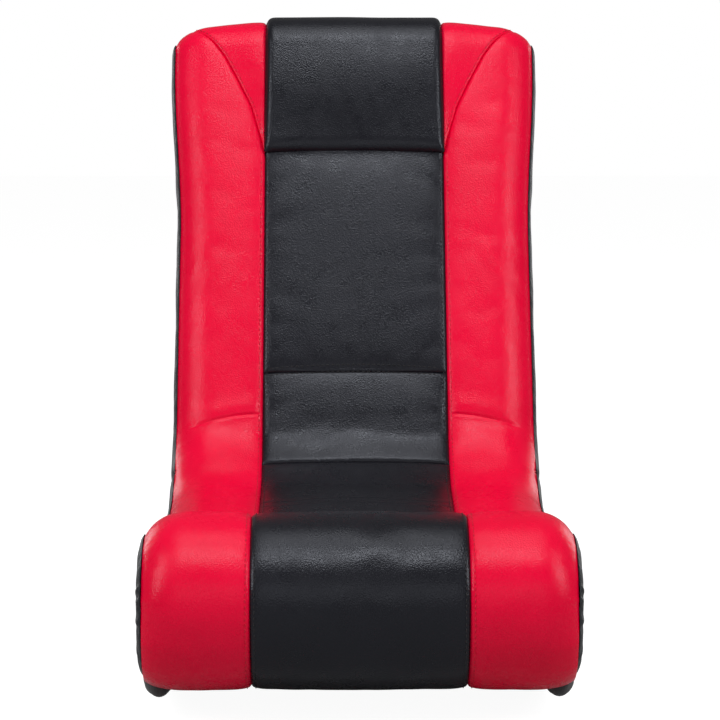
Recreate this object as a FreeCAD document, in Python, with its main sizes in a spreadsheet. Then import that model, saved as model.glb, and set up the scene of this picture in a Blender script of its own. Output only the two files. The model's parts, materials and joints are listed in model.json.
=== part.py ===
import FreeCAD, Part
import Sketcher
import math
import os

# A folding floor rocker: a padded seat with a thick front roll, and a padded backrest that folds on to it.
# Millimetres. X runs across the chair, Y from the front roll to the back, Z up from the floor.
# The origin is on the floor, under the middle of the whole chair. Left is at -X, as seen from the front.

DOC = FreeCAD.newDocument("floor_rocker")
SHEET = DOC.addObject("Spreadsheet::Sheet", "Sizes")
V = FreeCAD.Vector
X_AXIS = V(1, 0, 0)
FAR = 2000.0
SEAT_STRAPS = 4
BACK_STRAPS = 5

SIZES = (
    # overall side profile, measured from the front of the roll and from the floor
    ("roll_radius", 83.0, "radius of the thick front roll"),
    ("seat_depth", 475.0, "from the front of the roll to the corner of seat and back"),
    ("seat_height", 190.5, "height of that corner over the floor"),
    ("seat_slope", 8.0, "rise of the seat towards the back, degrees"),
    ("back_slope", 65.0, "lean of the front of the backrest, degrees"),
    ("rear_slope", 68.0, "lean of the rear of the backrest, degrees"),
    ("back_length", 534.0, "from the corner up to the rounded top"),
    ("top_round", 36.0, "radius of the rounded top of the backrest"),
    ("waist_round", 130.0, "radius between seat and back"),
    ("roll_hollow", 70.0, "radius of the hollow behind the roll"),
    ("rear_round", 80.0, "radius of the lower rear corner"),
    ("underside_radius", 1700.0, "radius of the underside"),
    ("underside_lift", 5.0, "lowest point of the underside over the floor"),
    ("rocker_radius", 2400.0, "radius of the runners that rock on the floor"),
    ("balance_point", 405.0, "from the front of the roll to where the runners rest"),
    ("runner_flat", 0.5, "depth of the worn flat under each runner"),
    # widths
    ("seat_half_width", 210.0, "half the width of seat and roll"),
    ("back_half_width", 208.0, "half the width of the backrest"),
    ("centre_half_width", 105.0, "half the width of the black centre strip"),
    ("edge_width", 45.0, "width over which the padding rounds off to its sides"),
    ("edge_depth", 32.0, "how far it draws in over that width"),
    ("side_seam", 5.0, "from the side of the chair in to its side seam"),
    ("seam_dip", 3.5, "how far a seam pulls the padding in"),
    # covers
    ("cover_thickness", 4.0, "cover material with its foam backing"),
    ("lining_thickness", 2.0, "cloth over the ends at the fold"),
    ("fit_gap", 0.3, "clearance between pieces that lie together"),
    # fold
    ("pivot_depth", 14.0, "depth of the fold axis under the padding"),
    ("fold_angle", 105.0, "how far the backrest folds forward, degrees"),
    ("fold_margin", 2.0, "spare angle on each side of the fold, degrees"),
    ("fold_gap", 4.0, "gap between the ends of seat and back"),
    # headrest and seams of the backrest, measured up the back from the corner
    ("lumbar_seam", 122.0, "seam over the lumbar panel"),
    ("headrest_start", 396.0, "lower seam of the headrest"),
    ("headrest_rise", 15.0, "thickness of the headrest at its top"),
    ("headrest_edge_rise", 11.0, "the same near its sides"),
    ("headrest_low_share", 0.5, "thickness at its lower end as a share of that"),
    ("headrest_end_round", 20.0, "length over which its ends round off"),
    ("headrest_wrap", 88.0, "how far it wraps over the top, degrees"),
    ("gusset_width", 63.0, "shoulder gusset where its seam leaves the straight"),
    ("gusset_height", 532.0, "where that is, up the back"),
    ("gusset_top_width", 88.0, "shoulder gusset at the top edge"),
    ("gusset_top", 546.0, "where that is, up the back"),
    # frame
    ("tube_radius", 11.0, "steel tube"),
    ("tube_wall", 1.5, "wall of the steel tube"),
    ("sleeve_wall", 2.2, "padded cloth sleeve round the runner"),
    ("rail_x", 197.5, "runner tube off the middle"),
    ("rail_front", 100.0, "where the front bend of the runner begins"),
    ("rail_rear", 455.0, "where the rear bend of the runner begins"),
    ("front_bend", 45.0, "front bend of the runner"),
    ("rear_bend", 60.0, "rear bend of the runner"),
    ("rear_bend_lean", 10.0, "forward lean after the rear bend, degrees"),
    ("front_rise", 42.0, "straight end of the runner inside the roll"),
    ("front_tube_drop", 15.0, "front cross tube under the runner's end"),
    ("rear_rise", 32.0, "straight end of the runner behind the seat"),
    ("middle_tube_y", 285.0, "cross tube under the seat"),
    ("middle_tube_lift", 8.0, "how far it stands over the runner's middle line"),
    ("hoop_depth", 45.0, "depth of the back tubes under the padding"),
    ("hoop_start", 30.0, "lower end of the back tubes"),
    ("hoop_top", 505.0, "middle line of the top tube"),
    ("hoop_bend", 60.0, "bend of the back tube at the shoulders"),
    ("lower_tube_at", 100.0, "lower cross tube of the back"),
    ("plug_length", 12.0, "plastic plug in a tube's end"),
    ("plug_rim", 2.0, "rim of that plug"),
    # webbing
    ("strap_width", 48.0, "elastic strap"),
    ("strap_thickness", 2.5, "elastic strap"),
    ("seat_strap_pitch", 84.0, "from strap to strap under the seat"),
    ("back_strap_pitch", 71.0, "from strap to strap behind the back"),
    ("back_strap_first", 36.0, "first back strap over the lower cross tube"),
    ("seat_foam_split", 150.0, "from the front to the end of the roll's own foam"),
    # hinge
    ("plate_thickness", 3.0, "hinge plates"),
    ("spacer_thickness", 0.9, "plastic washer between the plates"),
    ("side_play", 0.1, "play of the arm beside a washer"),
    ("plate_end", 13.0, "radius of the plates round the pivot"),
    ("bracket_foot", 14.0, "radius of the bracket's foot round the rear cross tube"),
    ("bracket_reach", 16.0, "from the runner's end down to that foot"),
    ("arm_foot", 13.0, "radius of the arm's end on the back tube"),
    ("arm_foot_at", 85.0, "where on the back tube the arm ends"),
    ("heel_width", 16.0, "heel of the arm, which rests on the stop"),
    ("heel_length", 36.0, "heel of the arm"),
    ("heel_overhang", 1.0, "how far the heel stands over the fold line"),
    ("stop_radius", 5.0, "stop pin"),
    ("stop_at", 26.0, "stop pin from the pivot"),
    ("bay_radius", 25.0, "room in the foam round the pivot"),
    ("bay_spare", 1.5, "room in the foam beyond the ends of the pivot bolt"),
    ("bolt_radius", 4.0, "pivot bolt"),
    ("bolt_head_radius", 7.0, "hexagon head of the pivot bolt, to its corners"),
    ("bolt_head_height", 5.3, "hexagon head of the pivot bolt"),
    ("nut_radius", 7.4, "lock nut, to its corners"),
    ("nut_height", 8.0, "lock nut"),
    ("washer_radius", 9.0, "washers on the pivot"),
    ("washer_thickness", 1.6, "steel washer under the lock nut"),
    ("bush_wall", 2.0, "plastic bush in the arm"),
    ("running_gap", 0.05, "play between bolt and bush"),
    ("bolt_spare", 2.0, "thread that stands out of the nut"),
)


def fill_sheet():
    for row, (alias, value, meaning) in enumerate(SIZES, start=1):
        SHEET.set("A%d" % row, meaning)
        SHEET.set("B%d" % row, repr(value))
        SHEET.setAlias("B%d" % row, alias)
    DOC.recompute()


def size(alias):
    return float(SHEET.get(alias))


# geometry in the side view

def unit(degrees):
    angle = math.radians(degrees)
    return V(0, math.cos(angle), math.sin(angle))


def angle_of(vector):
    return math.degrees(math.atan2(vector.z, vector.y))


def meet_circle(start, along, centre, radius, farther):
    """The point of a straight line that lies one radius from a centre."""
    offset = start - centre
    half = offset.dot(along)
    spread = math.sqrt(half * half - offset.dot(offset) + radius * radius)
    return start + along * (-half + (spread if farther else -spread))


class Side:
    """Centres and directions of the chair's side view, in the chair's own frame."""

    def __init__(self):
        seat, back, rear = size("seat_slope"), size("back_slope"), size("rear_slope")
        self.seat_along, self.seat_up = unit(seat), unit(seat + 90)
        self.back_along, self.back_up = unit(back), unit(back + 90)
        self.rear_along, self.rear_out = unit(rear), unit(rear - 90)
        roll, hollow, top = size("roll_radius"), size("roll_hollow"), size("top_round")
        under, bend = size("underside_radius"), size("rear_round")
        corner = V(0, size("seat_depth"), size("seat_height"))
        top_centre = corner + self.back_along * size("back_length") - self.back_up * top
        self.depth = top_centre.y + top
        shift = V(0, -self.depth / 2, 0)
        self.corner = corner + shift
        self.top = top_centre + shift
        self.under = V(0, size("balance_point"), size("underside_lift") + under) + shift
        self.rocker = V(0, size("balance_point"), size("rocker_radius")) + shift
        reach = under - roll
        roll_y = roll - size("balance_point")
        self.roll = self.under + V(0, roll_y, -math.sqrt(reach * reach - roll_y * roll_y))
        self.hollow = meet_circle(self.corner + self.seat_up * hollow, self.seat_along,
                                  self.roll, roll + hollow, False)
        if (self.hollow - self.roll).y < 0:
            self.hollow = meet_circle(self.corner + self.seat_up * hollow, self.seat_along,
                                      self.roll, roll + hollow, True)
        half_turn = math.radians(back - seat) / 2
        leg = size("waist_round") * math.tan(half_turn)
        self.waist = self.corner - self.seat_along * leg + self.seat_up * size("waist_round")
        inside = self.top + self.rear_out * (top - bend)
        self.bend = meet_circle(inside, self.rear_along, self.under, under - bend, False)
        self.seat_angle, self.back_angle, self.rear_angle = seat + 90, back + 90, rear - 90
        self.roll_bottom = angle_of(self.roll - self.under) + 360
        self.roll_top = angle_of(self.hollow - self.roll)
        self.bend_bottom = angle_of(self.bend - self.under)
        self.place_fold(seat, back)

    def place_fold(self, seat, back):
        """The fold axis lies under the middle of the waist, square to the padding there."""
        self.fold_slope = (seat + back) / 2
        self.fold_along, self.fold_up = unit(self.fold_slope), unit(self.fold_slope + 90)
        surface = self.waist - self.fold_up * size("waist_round")
        self.pivot = surface - self.fold_up * size("pivot_depth")

    def at_fold(self, along, up):
        return self.pivot + self.fold_along * along + self.fold_up * up

    def on_back(self, along, depth):
        """A point by its way up the front of the back and its depth under it."""
        return self.corner + self.back_along * along - self.back_up * depth


def arc_edge(centre, radius, start, end):
    points = [centre + unit(a) * radius for a in (start, (start + end) / 2, end)]
    return Part.Arc(*points).toShape()


def chair_outline(side, inset, x):
    """The whole chair's closed side outline, drawn in by an inset, at one place across it."""
    roll, hollow = size("roll_radius") - inset, size("roll_hollow") + inset
    waist, top = size("waist_round") + inset, size("top_round") - inset
    bend, under = size("rear_round") - inset, size("underside_radius") - inset
    middle = (side.roll_bottom + side.roll_top) / 2
    crest = (side.back_angle + side.rear_angle) / 2
    arcs = [
        arc_edge(side.roll, roll, side.roll_bottom, middle),
        arc_edge(side.roll, roll, middle, side.roll_top),
        arc_edge(side.hollow, hollow, side.roll_top + 180, side.seat_angle + 180),
        arc_edge(side.waist, waist, side.seat_angle + 180, side.back_angle + 180),
        arc_edge(side.top, top, side.back_angle, crest),
        arc_edge(side.top, top, crest, side.rear_angle),
        arc_edge(side.bend, bend, side.rear_angle, side.bend_bottom),
        arc_edge(side.under, under, side.bend_bottom, side.roll_bottom - 360),
    ]
    lines_after = (2, 3, 5)
    edges = []
    for number, arc in enumerate(arcs):
        edges.append(arc)
        if number in lines_after:
            start, end = arc.Vertexes[-1].Point, arcs[number + 1].Vertexes[0].Point
            edges.append(Part.LineSegment(start, end).toShape())
    outline = Part.Wire(edges)
    outline.translate(V(x, 0, 0))
    return outline


def padded_form(side, half_width, inset):
    """The chair's padded shape: crowned panels, dips at the seams and drawn-in sides."""
    wide, deep = size("edge_width") - inset, size("edge_depth") - inset
    start = half_width - inset - wide
    seam, dip = size("centre_half_width"), size("seam_dip")
    stations = [(0.0, inset), (0.8 * seam, inset + 0.3 * dip), (seam, inset + dip),
                (1.2 * seam, inset + 0.3 * dip), ((1.2 * seam + start) / 2, inset)]
    for turn in (12, 40, 62, 80, 90):
        angle = math.radians(turn)
        stations.append((start + wide * math.sin(angle), inset + deep * (1 - math.cos(angle))))
    across = [(-x, depth) for x, depth in reversed(stations[1:])] + stations
    return Part.makeLoft([chair_outline(side, depth, x) for x, depth in across], True, False)


def prism(points, low_x, high_x):
    """A closed outline in the side view, carried across the chair."""
    corners = [V(low_x, p.y, p.z) for p in points]
    face = Part.Face(Part.makePolygon(corners + corners[:1]))
    return face.extrude(V(high_x - low_x, 0, 0))


def rod(centre, radius, low_x, high_x):
    return Part.makeCylinder(radius, high_x - low_x, V(low_x, centre.y, centre.z), X_AXIS)


def own_side_of_fold(side, sign, extra):
    """What lies on one side of the fold (-1 seat, +1 back). Its lips open by half the angle each."""
    edge = size("fold_gap") / 2 + extra
    rise = size("pivot_depth") * 3
    lean = math.tan(math.radians(size("fold_angle") / 2 + size("fold_margin")))
    lip = edge + rise * lean
    shape = [(edge, -FAR), (edge, 0), (lip, rise), (lip, FAR), (FAR, FAR), (FAR, -FAR)]
    return prism([side.at_fold(sign * along, up) for along, up in shape], -FAR, FAR)


def between(side, low, high, top_depth, bottom_depth):
    """A block of the backrest, from one height to another up the back and between two depths."""
    corners = ((low, top_depth), (high, top_depth), (high, bottom_depth), (low, bottom_depth))
    return prism([side.on_back(*corner) for corner in corners], -FAR, FAR)


def slab(low_x, high_x):
    return Part.makeBox(high_x - low_x, 2 * FAR, 2 * FAR, V(low_x, -FAR, -FAR))


def hull(first, first_radius, second, second_radius):
    """The edges of a link plate's outline: two rounded ends and the lines that touch both."""
    along = second - first
    heading = angle_of(along)
    open_angle = math.degrees(math.acos((first_radius - second_radius) / along.Length))
    upper, lower = heading + open_angle, heading - open_angle
    a, b = first + unit(upper) * first_radius, second + unit(upper) * second_radius
    c, d = second + unit(lower) * second_radius, first + unit(lower) * first_radius
    far_end = second + unit(heading) * second_radius
    near_end = first + unit(heading + 180) * first_radius
    return [Part.Arc(d, near_end, a), Part.LineSegment(a, b), Part.Arc(b, far_end, c),
            Part.LineSegment(c, d)]


def plate_room(curves, low_x, high_x):
    """Room for a flat plate, from its outline's edges."""
    face = Part.Face(Part.Wire(Part.__sortEdges__([curve.toShape() for curve in curves])))
    face.translate(V(low_x, 0, 0))
    return face.extrude(V(high_x - low_x, 0, 0))


# objects of the document

def feature(label, shape):
    """A sub-part whose shape is worked out by the functions above."""
    item = DOC.addObject("Part::Feature", label)
    item.Shape = shape
    return item


def padding(label, shape):
    return feature(label, whole(shape))


def bind(item, **sizes):
    """Sets each property from the sheet where its size is given in words, else by the number."""
    for name, value in sizes.items():
        if isinstance(value, str):
            item.setExpression(name, value)
        else:
            setattr(item, name, value)
    return item


def lay_across(item, x, point):
    """Turns an object that is made along Z to lie across the chair, and puts it in place."""
    item.Placement = FreeCAD.Placement(V(x, point.y, point.z), FreeCAD.Rotation(V(0, 1, 0), 90))
    return item


def cylinder(name, radius, height, x, point):
    item = bind(DOC.addObject("Part::Cylinder", name), Radius=radius, Height=height)
    return lay_across(item, x, point)


def hexagon(name, radius, height, x, point):
    item = bind(DOC.addObject("Part::Prism", name), Circumradius=radius, Height=height)
    item.Polygon = 6
    return lay_across(item, x, point)


def cut(name, base, tool):
    item = DOC.addObject("Part::Cut", name)
    item.Base, item.Tool = base, tool
    return item


def fuse(name, shapes):
    item = DOC.addObject("Part::MultiFuse", name)
    item.Shapes = shapes
    return item


def group(name, links):
    """Several loose pieces of one kind in one node."""
    item = DOC.addObject("Part::Compound", name)
    item.Links = links
    return item


def swept(name, path, start, tilt, outer, bore):
    """A tube: a disc and its bore are carried along a path from the path's start."""
    sweeps = []
    for kind, radius in (("outer", outer), ("bore", bore)):
        circle = bind(DOC.addObject("Part::Circle", "%s_%s_circle" % (name, kind)), Radius=radius)
        circle.Placement = FreeCAD.Placement(start, FreeCAD.Rotation(X_AXIS, tilt))
        sweep = DOC.addObject("Part::Sweep", "%s_%s" % (name, kind))
        sweep.Sections = [circle]
        edges = ["Edge%d" % (number + 1) for number in range(len(path.Shape.Edges))]
        sweep.Spine = (path, edges)
        sweep.Solid = True
        sweeps.append(sweep)
    return cut(name, *sweeps)


def straight_tube(name, point, half_length):
    """A cross tube, from one side to the other."""
    length = "2 * %s" % half_length
    outer = cylinder(name + "_outer", "Sizes.tube_radius", length, 0, point)
    bore = cylinder(name + "_bore", "Sizes.tube_radius - Sizes.tube_wall", length, 0, point)
    for item in (outer, bore):
        item.setExpression("Placement.Base.x", "-(%s)" % half_length)
    return cut(name, outer, bore)


def ring(name, outer, inner, height, x, point):
    return cut(name, cylinder(name + "_disc", outer, height, x, point),
               cylinder(name + "_hole", inner, height, x, point))


def pipe_room(path, start, tilt, radius):
    """Room for a bent tube in the padding round it."""
    circle = Part.Wire(Part.makeCircle(radius))
    circle.Placement = FreeCAD.Placement(start, FreeCAD.Rotation(X_AXIS, tilt))
    return path.makePipeShell([circle], True, False)


def sketched(body, name, curves, circles=()):
    """A sketch on the body's own side plane: an outline and, inside it, holes."""
    plane = [item for item in body.Origin.OriginFeatures if item.Role == "YZ_Plane"][0]
    sketch = body.newObject("Sketcher::SketchObject", name)
    sketch.AttachmentSupport = (plane, [""])
    sketch.MapMode = "FlatFace"
    for curve in curves:
        flat = curve.copy()
        flat.transform(FreeCAD.Placement(V(0, 0, 0), FreeCAD.Rotation(V(1, 1, 1), -120)).Matrix)
        sketch.addGeometry(flat, False)
    for number, (centre, radius, expression) in enumerate(circles):
        index = sketch.addGeometry(Part.Circle(V(centre.y, centre.z, 0), V(0, 0, 1), radius), False)
        lock = (("DistanceX", centre.y), ("DistanceY", centre.z))
        for kind, value in lock:
            sketch.addConstraint(Sketcher.Constraint(kind, -1, 1, index, 3, value))
        at = sketch.addConstraint(Sketcher.Constraint("Radius", index, radius))
        sketch.renameConstraint(at, "hole%d" % number)
        sketch.setExpression("Constraints.hole%d" % number, expression)
    return sketch


def padded_up(body, name, sketch):
    pad = body.newObject("PartDesign::Pad", name)
    pad.Profile = sketch
    pad.setExpression("Length", "Sizes.plate_thickness")
    return pad


# the runners and the seat's tubes

class Frame:
    """Where the tubes and the hinge lie."""

    def __init__(self, side):
        bend, rear_bend = size("front_bend"), size("rear_bend")
        self.sleeve_radius = size("tube_radius") + size("fit_gap") + size("sleeve_wall")
        lowest = size("rocker_radius") - self.sleeve_radius
        centre = side.rocker - V(0, 0, size("runner_flat"))
        front = self.on_runner(centre, lowest, size("rail_front") - side.depth / 2)
        rear = self.on_runner(centre, lowest, size("rail_rear") - side.depth / 2)
        self.front_centre = front + (centre - front).normalize() * bend
        self.rear_centre = rear + (centre - rear).normalize() * rear_bend
        lean = size("rear_bend_lean")
        self.bends = [
            arc_edge(self.front_centre, bend, 180, angle_of(front - self.front_centre) + 360),
            arc_edge(centre, lowest, angle_of(front - centre), angle_of(rear - centre)),
            arc_edge(self.rear_centre, rear_bend, angle_of(rear - self.rear_centre), lean),
        ]
        self.front_bend_end = self.front_centre + unit(180) * bend
        self.rear_bend_end = self.rear_centre + unit(lean) * rear_bend
        self.rear_heading = unit(lean + 90)
        self.front_end = self.front_bend_end + V(0, 0, size("front_rise"))
        self.rear_end = self.rear_bend_end + self.rear_heading * size("rear_rise")
        self.front_tube = self.front_end - V(0, 0, size("front_tube_drop"))
        self.rear_tube = self.rear_end - self.rear_heading * size("bracket_reach")
        middle = self.on_runner(centre, lowest, size("middle_tube_y") - side.depth / 2)
        self.middle_tube = middle + V(0, 0, size("middle_tube_lift"))
        self.place_hinge()

    @staticmethod
    def on_runner(centre, radius, y):
        away = y - centre.y
        return V(0, y, centre.z - math.sqrt(radius * radius - away * away))

    def place_hinge(self):
        """Places across the chair, from the runner inwards."""
        plate = size("plate_thickness")
        self.bracket_out = size("rail_x") - size("tube_radius") - size("fit_gap")
        self.bracket_in = self.bracket_out - plate
        self.arm_out = self.bracket_in - size("spacer_thickness") - size("side_play")
        self.arm_in = self.arm_out - plate
        self.washer_out = self.arm_in - size("side_play")
        self.nut_out = self.washer_out - size("washer_thickness")
        self.bolt_in = self.nut_out - size("nut_height") - size("bolt_spare")
        self.head_out = self.bracket_out + size("bolt_head_height")
        self.hoop_x = self.arm_in - size("fit_gap") - size("tube_radius")

    def runner_path(self, spare):
        """The whole runner tube's middle line, longer by a spare length at each end."""
        start = self.front_end + V(0, 0, spare)
        end = self.rear_end + self.rear_heading * spare
        edges = [Part.LineSegment(start, self.front_bend_end).toShape()] + self.bends
        edges.append(Part.LineSegment(self.rear_bend_end, end).toShape())
        return Part.Wire(edges), start


SIDES = (("left", -1), ("right", 1))


def runners(side, frame):
    """Bent steel tubes that rock on the floor, each in a padded cloth sleeve with a worn flat."""
    wire, start = frame.runner_path(0)
    sleeve_wire = Part.Wire(frame.bends)
    floor = bind(DOC.addObject("Part::Box", "floor_cut"), Length=FAR, Width=FAR, Height=FAR)
    floor.Placement.Base = V(-FAR / 2, -FAR / 2, -FAR)
    room = cylinder("middle_tube_room", "Sizes.tube_radius + Sizes.fit_gap",
                    "2 * (Sizes.rail_x - Sizes.tube_radius)", 0, frame.middle_tube)
    room.setExpression("Placement.Base.x", "Sizes.tube_radius - Sizes.rail_x")
    for name, sign in SIDES:
        shift = V(sign * size("rail_x"), 0, 0)
        path = feature("runner_%s_path" % name, wire.translated(shift))
        swept("runner_tube_%s" % name, path, start + shift, 0,
              "Sizes.tube_radius", "Sizes.tube_radius - Sizes.tube_wall")
        sleeve_path = feature("sleeve_%s_path" % name, sleeve_wire.translated(shift))
        sleeve = swept("sleeve_%s_whole" % name, sleeve_path, frame.front_bend_end + shift, 0,
                       "Sizes.tube_radius + Sizes.fit_gap + Sizes.sleeve_wall",
                       "Sizes.tube_radius + Sizes.fit_gap")
        notched = cut("sleeve_%s_notched" % name, sleeve, room)
        cut("runner_sleeve_%s" % name, notched, floor)


def plugs(frame):
    """A plastic plug in each open end of the runners."""
    ends = ((frame.front_end, 0), (frame.rear_end, size("rear_bend_lean")))
    made = []
    for name, sign in SIDES:
        for number, (end, tilt) in enumerate(ends):
            label = "plug_%s_%d" % (name, number)
            turn = FreeCAD.Rotation(X_AXIS, tilt)
            shank = DOC.addObject("Part::Cylinder", label + "_shank")
            rim = DOC.addObject("Part::Cylinder", label + "_rim")
            bind(shank, Radius="Sizes.tube_radius - Sizes.tube_wall", Height="Sizes.plug_length")
            bind(rim, Radius="Sizes.tube_radius", Height="Sizes.plug_rim")
            place = end + V(sign * size("rail_x"), 0, 0)
            inward = turn.multVec(V(0, 0, -size("plug_length")))
            shank.Placement = FreeCAD.Placement(place + inward, turn)
            rim.Placement = FreeCAD.Placement(place, turn)
            made.append(fuse(label, [shank, rim]))
    group("runner_plugs", made)


def seat_tubes(frame):
    half = "(Sizes.rail_x - Sizes.tube_radius - Sizes.fit_gap)"
    straight_tube("front_cross_tube", frame.front_tube, half)
    straight_tube("middle_cross_tube", frame.middle_tube, half)
    inner = "(%s - Sizes.plate_thickness - Sizes.fit_gap)" % half
    straight_tube("rear_cross_tube", frame.rear_tube, inner)


def seat_strap_line(frame):
    along = frame.rear_tube - frame.front_tube
    direction = V(along).normalize()
    clear = size("tube_radius") + size("fit_gap")
    return frame.front_tube + direction * clear, direction, along.Length - 2 * clear


def seat_strap_middle(number):
    return (number - (SEAT_STRAPS - 1) / 2) * size("seat_strap_pitch")


def seat_straps(frame):
    """Elastic straps from the front tube to the rear tube."""
    start, direction, length = seat_strap_line(frame)
    tilt = angle_of(direction)
    straps = []
    for number in range(SEAT_STRAPS):
        strap = DOC.addObject("Part::Box", "seat_strap_%d" % (number + 1))
        bind(strap, Length="Sizes.strap_width", Height="Sizes.strap_thickness", Width=length)
        x = seat_strap_middle(number) - size("strap_width") / 2
        drop = unit(tilt + 90) * (size("strap_thickness") / 2)
        strap.Placement = FreeCAD.Placement(start - drop + V(x, 0, 0),
                                            FreeCAD.Rotation(X_AXIS, tilt))
        straps.append(strap)
    group("seat_webbing", straps)


# the tubes of the backrest

def hoop_path(side, frame, spare):
    """Up one side, over the top and down the other, in the plane of the back tubes."""
    half, top, bend = frame.hoop_x, size("hoop_top"), size("hoop_bend")
    corner = bend * (1 - math.sqrt(0.5))

    def at(x, along):
        return side.on_back(along, size("hoop_depth")) + V(x, 0, 0)

    start, end = at(-half, size("hoop_start") - spare), at(half, size("hoop_start") - spare)
    left, left_top = at(-half, top - bend), at(-half + bend, top)
    right_top, right = at(half - bend, top), at(half, top - bend)
    edges = [
        Part.LineSegment(start, left).toShape(),
        Part.Arc(left, at(-half + corner, top - corner), left_top).toShape(),
        Part.LineSegment(left_top, right_top).toShape(),
        Part.Arc(right_top, at(half - corner, top - corner), right).toShape(),
        Part.LineSegment(right, end).toShape(),
    ]
    return Part.Wire(edges), start


def back_strap_places():
    first = size("lower_tube_at") + size("back_strap_first")
    return [first + number * size("back_strap_pitch") for number in range(BACK_STRAPS)]


def upper_tube_at():
    """The upper cross tube lies midway between the third strap and the fourth."""
    places = back_strap_places()
    return (places[2] + places[3]) / 2


def back_tubes(side, frame):
    wire, start = hoop_path(side, frame, 0)
    path = feature("hoop_path", wire)
    swept("back_hoop", path, start, size("back_slope") - 90,
          "Sizes.tube_radius", "Sizes.tube_radius - Sizes.tube_wall")
    half = ("(Sizes.rail_x - 3 * Sizes.tube_radius - 3 * Sizes.fit_gap - 2 * Sizes.plate_thickness"
            " - Sizes.spacer_thickness - Sizes.side_play)")
    depth = size("hoop_depth")
    straight_tube("lower_back_tube", side.on_back(size("lower_tube_at"), depth), half)
    straight_tube("upper_back_tube", side.on_back(upper_tube_at(), depth), half)
    straps = []
    for number, along in enumerate(back_strap_places()):
        strap = DOC.addObject("Part::Box", "back_strap_%d" % (number + 1))
        bind(strap, Length="2 * " + half, Width="Sizes.strap_thickness", Height="Sizes.strap_width")
        low = along - size("strap_width") / 2
        corner = side.on_back(low, depth - size("strap_thickness") / 2)
        inner = frame.hoop_x - size("tube_radius") - size("fit_gap")
        strap.Placement = FreeCAD.Placement(corner - V(inner, 0, 0),
                                            FreeCAD.Rotation(X_AXIS, size("back_slope") - 90))
        straps.append(strap)
    group("back_webbing", straps)


# the hinge at each side

def stop_pin_place(side):
    """The pin stands just clear of the heel, on the seat's side of it."""
    off = size("heel_overhang") + size("fit_gap") + size("stop_radius")
    return side.at_fold(-off, -size("stop_at"))


def arm_curves(side, grow):
    """The arm's link and its heel, grown all round where padding makes room for them."""
    foot = side.on_back(size("arm_foot_at"), size("hoop_depth"))
    link = hull(side.pivot, size("plate_end") + grow, foot, size("arm_foot") + grow)
    low, high = -size("heel_overhang") - grow, size("heel_width") - size("heel_overhang") + grow
    corners = [side.at_fold(low, 0), side.at_fold(high, 0),
               side.at_fold(high, -size("heel_length") - grow),
               side.at_fold(low, -size("heel_length") - grow)]
    heel = [Part.LineSegment(corners[n], corners[(n + 1) % 4]) for n in range(4)]
    return link, heel


def bracket_curves(side, frame, grow):
    return hull(side.pivot, size("plate_end") + grow, frame.rear_tube, size("bracket_foot") + grow)


def hinges(side, frame):
    bolt = size("bolt_radius")
    bush = bolt + size("running_gap") + size("bush_wall")
    pins, bushes, washers, bolts, nuts = [], [], [], [], []
    link, heel = arm_curves(side, 0)
    pin_at = stop_pin_place(side)
    pin_in = frame.arm_in - size("side_play")
    for name, sign in SIDES:

        def place(low, high):
            return min(sign * low, sign * high)

        bracket = DOC.addObject("PartDesign::Body", "hinge_bracket_" + name)
        outline = sketched(bracket, "bracket_%s_outline" % name, bracket_curves(side, frame, 0), (
            (side.pivot, bolt, "Sizes.bolt_radius"),
            (pin_at, size("stop_radius"), "Sizes.stop_radius")))
        padded_up(bracket, "bracket_%s_plate" % name, outline)
        bracket.Placement.Base = V(place(frame.bracket_in, frame.bracket_out), 0, 0)

        arm = DOC.addObject("PartDesign::Body", "hinge_arm_" + name)
        padded_up(arm, "arm_%s_link" % name, sketched(arm, "arm_%s_outline" % name, link))
        padded_up(arm, "arm_%s_heel" % name, sketched(arm, "arm_%s_heel_outline" % name, heel))
        DOC.recompute()
        pocket = arm.newObject("PartDesign::Pocket", "arm_%s_hole" % name)
        pocket.Profile = sketched(arm, "arm_%s_hole_outline" % name, (), (
            (side.pivot, bush, "Sizes.bolt_radius + Sizes.running_gap + Sizes.bush_wall"),))
        pocket.Type = "ThroughAll"
        pocket.Reversed = True
        arm.Placement.Base = V(place(frame.arm_in, frame.arm_out), 0, 0)

        pins.append(cylinder("stop_pin_" + name, "Sizes.stop_radius", frame.bracket_out - pin_in,
                             place(pin_in, frame.bracket_out), pin_at))
        bushes.append(ring("bush_" + name, "Sizes.bolt_radius + Sizes.running_gap + Sizes.bush_wall",
                           "Sizes.bolt_radius + Sizes.running_gap", "Sizes.plate_thickness",
                           place(frame.arm_in, frame.arm_out), side.pivot))
        washers.append(ring("spacer_" + name, "Sizes.washer_radius", "Sizes.bolt_radius",
                            "Sizes.spacer_thickness",
                            place(frame.bracket_in - size("spacer_thickness"), frame.bracket_in),
                            side.pivot))
        washers.append(ring("washer_" + name, "Sizes.washer_radius", "Sizes.bolt_radius",
                            "Sizes.washer_thickness", place(frame.nut_out, frame.washer_out),
                            side.pivot))
        shank = cylinder("bolt_shank_" + name, "Sizes.bolt_radius",
                         frame.bracket_out - frame.bolt_in,
                         place(frame.bolt_in, frame.bracket_out), side.pivot)
        head = hexagon("bolt_head_" + name, "Sizes.bolt_head_radius", "Sizes.bolt_head_height",
                       place(frame.bracket_out, frame.head_out), side.pivot)
        bolts.append(fuse("bolt_" + name, [shank, head]))
        nut_in = frame.nut_out - size("nut_height")
        nut = hexagon("nut_body_" + name, "Sizes.nut_radius", "Sizes.nut_height",
                      place(nut_in, frame.nut_out), side.pivot)
        thread = cylinder("nut_hole_" + name, "Sizes.bolt_radius", "Sizes.nut_height",
                          place(nut_in, frame.nut_out), side.pivot)
        nuts.append(cut("nut_" + name, nut, thread))
    group("stop_pins", pins)
    group("pivot_bushes", bushes)
    group("pivot_washers", washers)
    group("pivot_bolts", bolts)
    group("lock_nuts", nuts)


# room that the padding leaves for the frame

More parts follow.
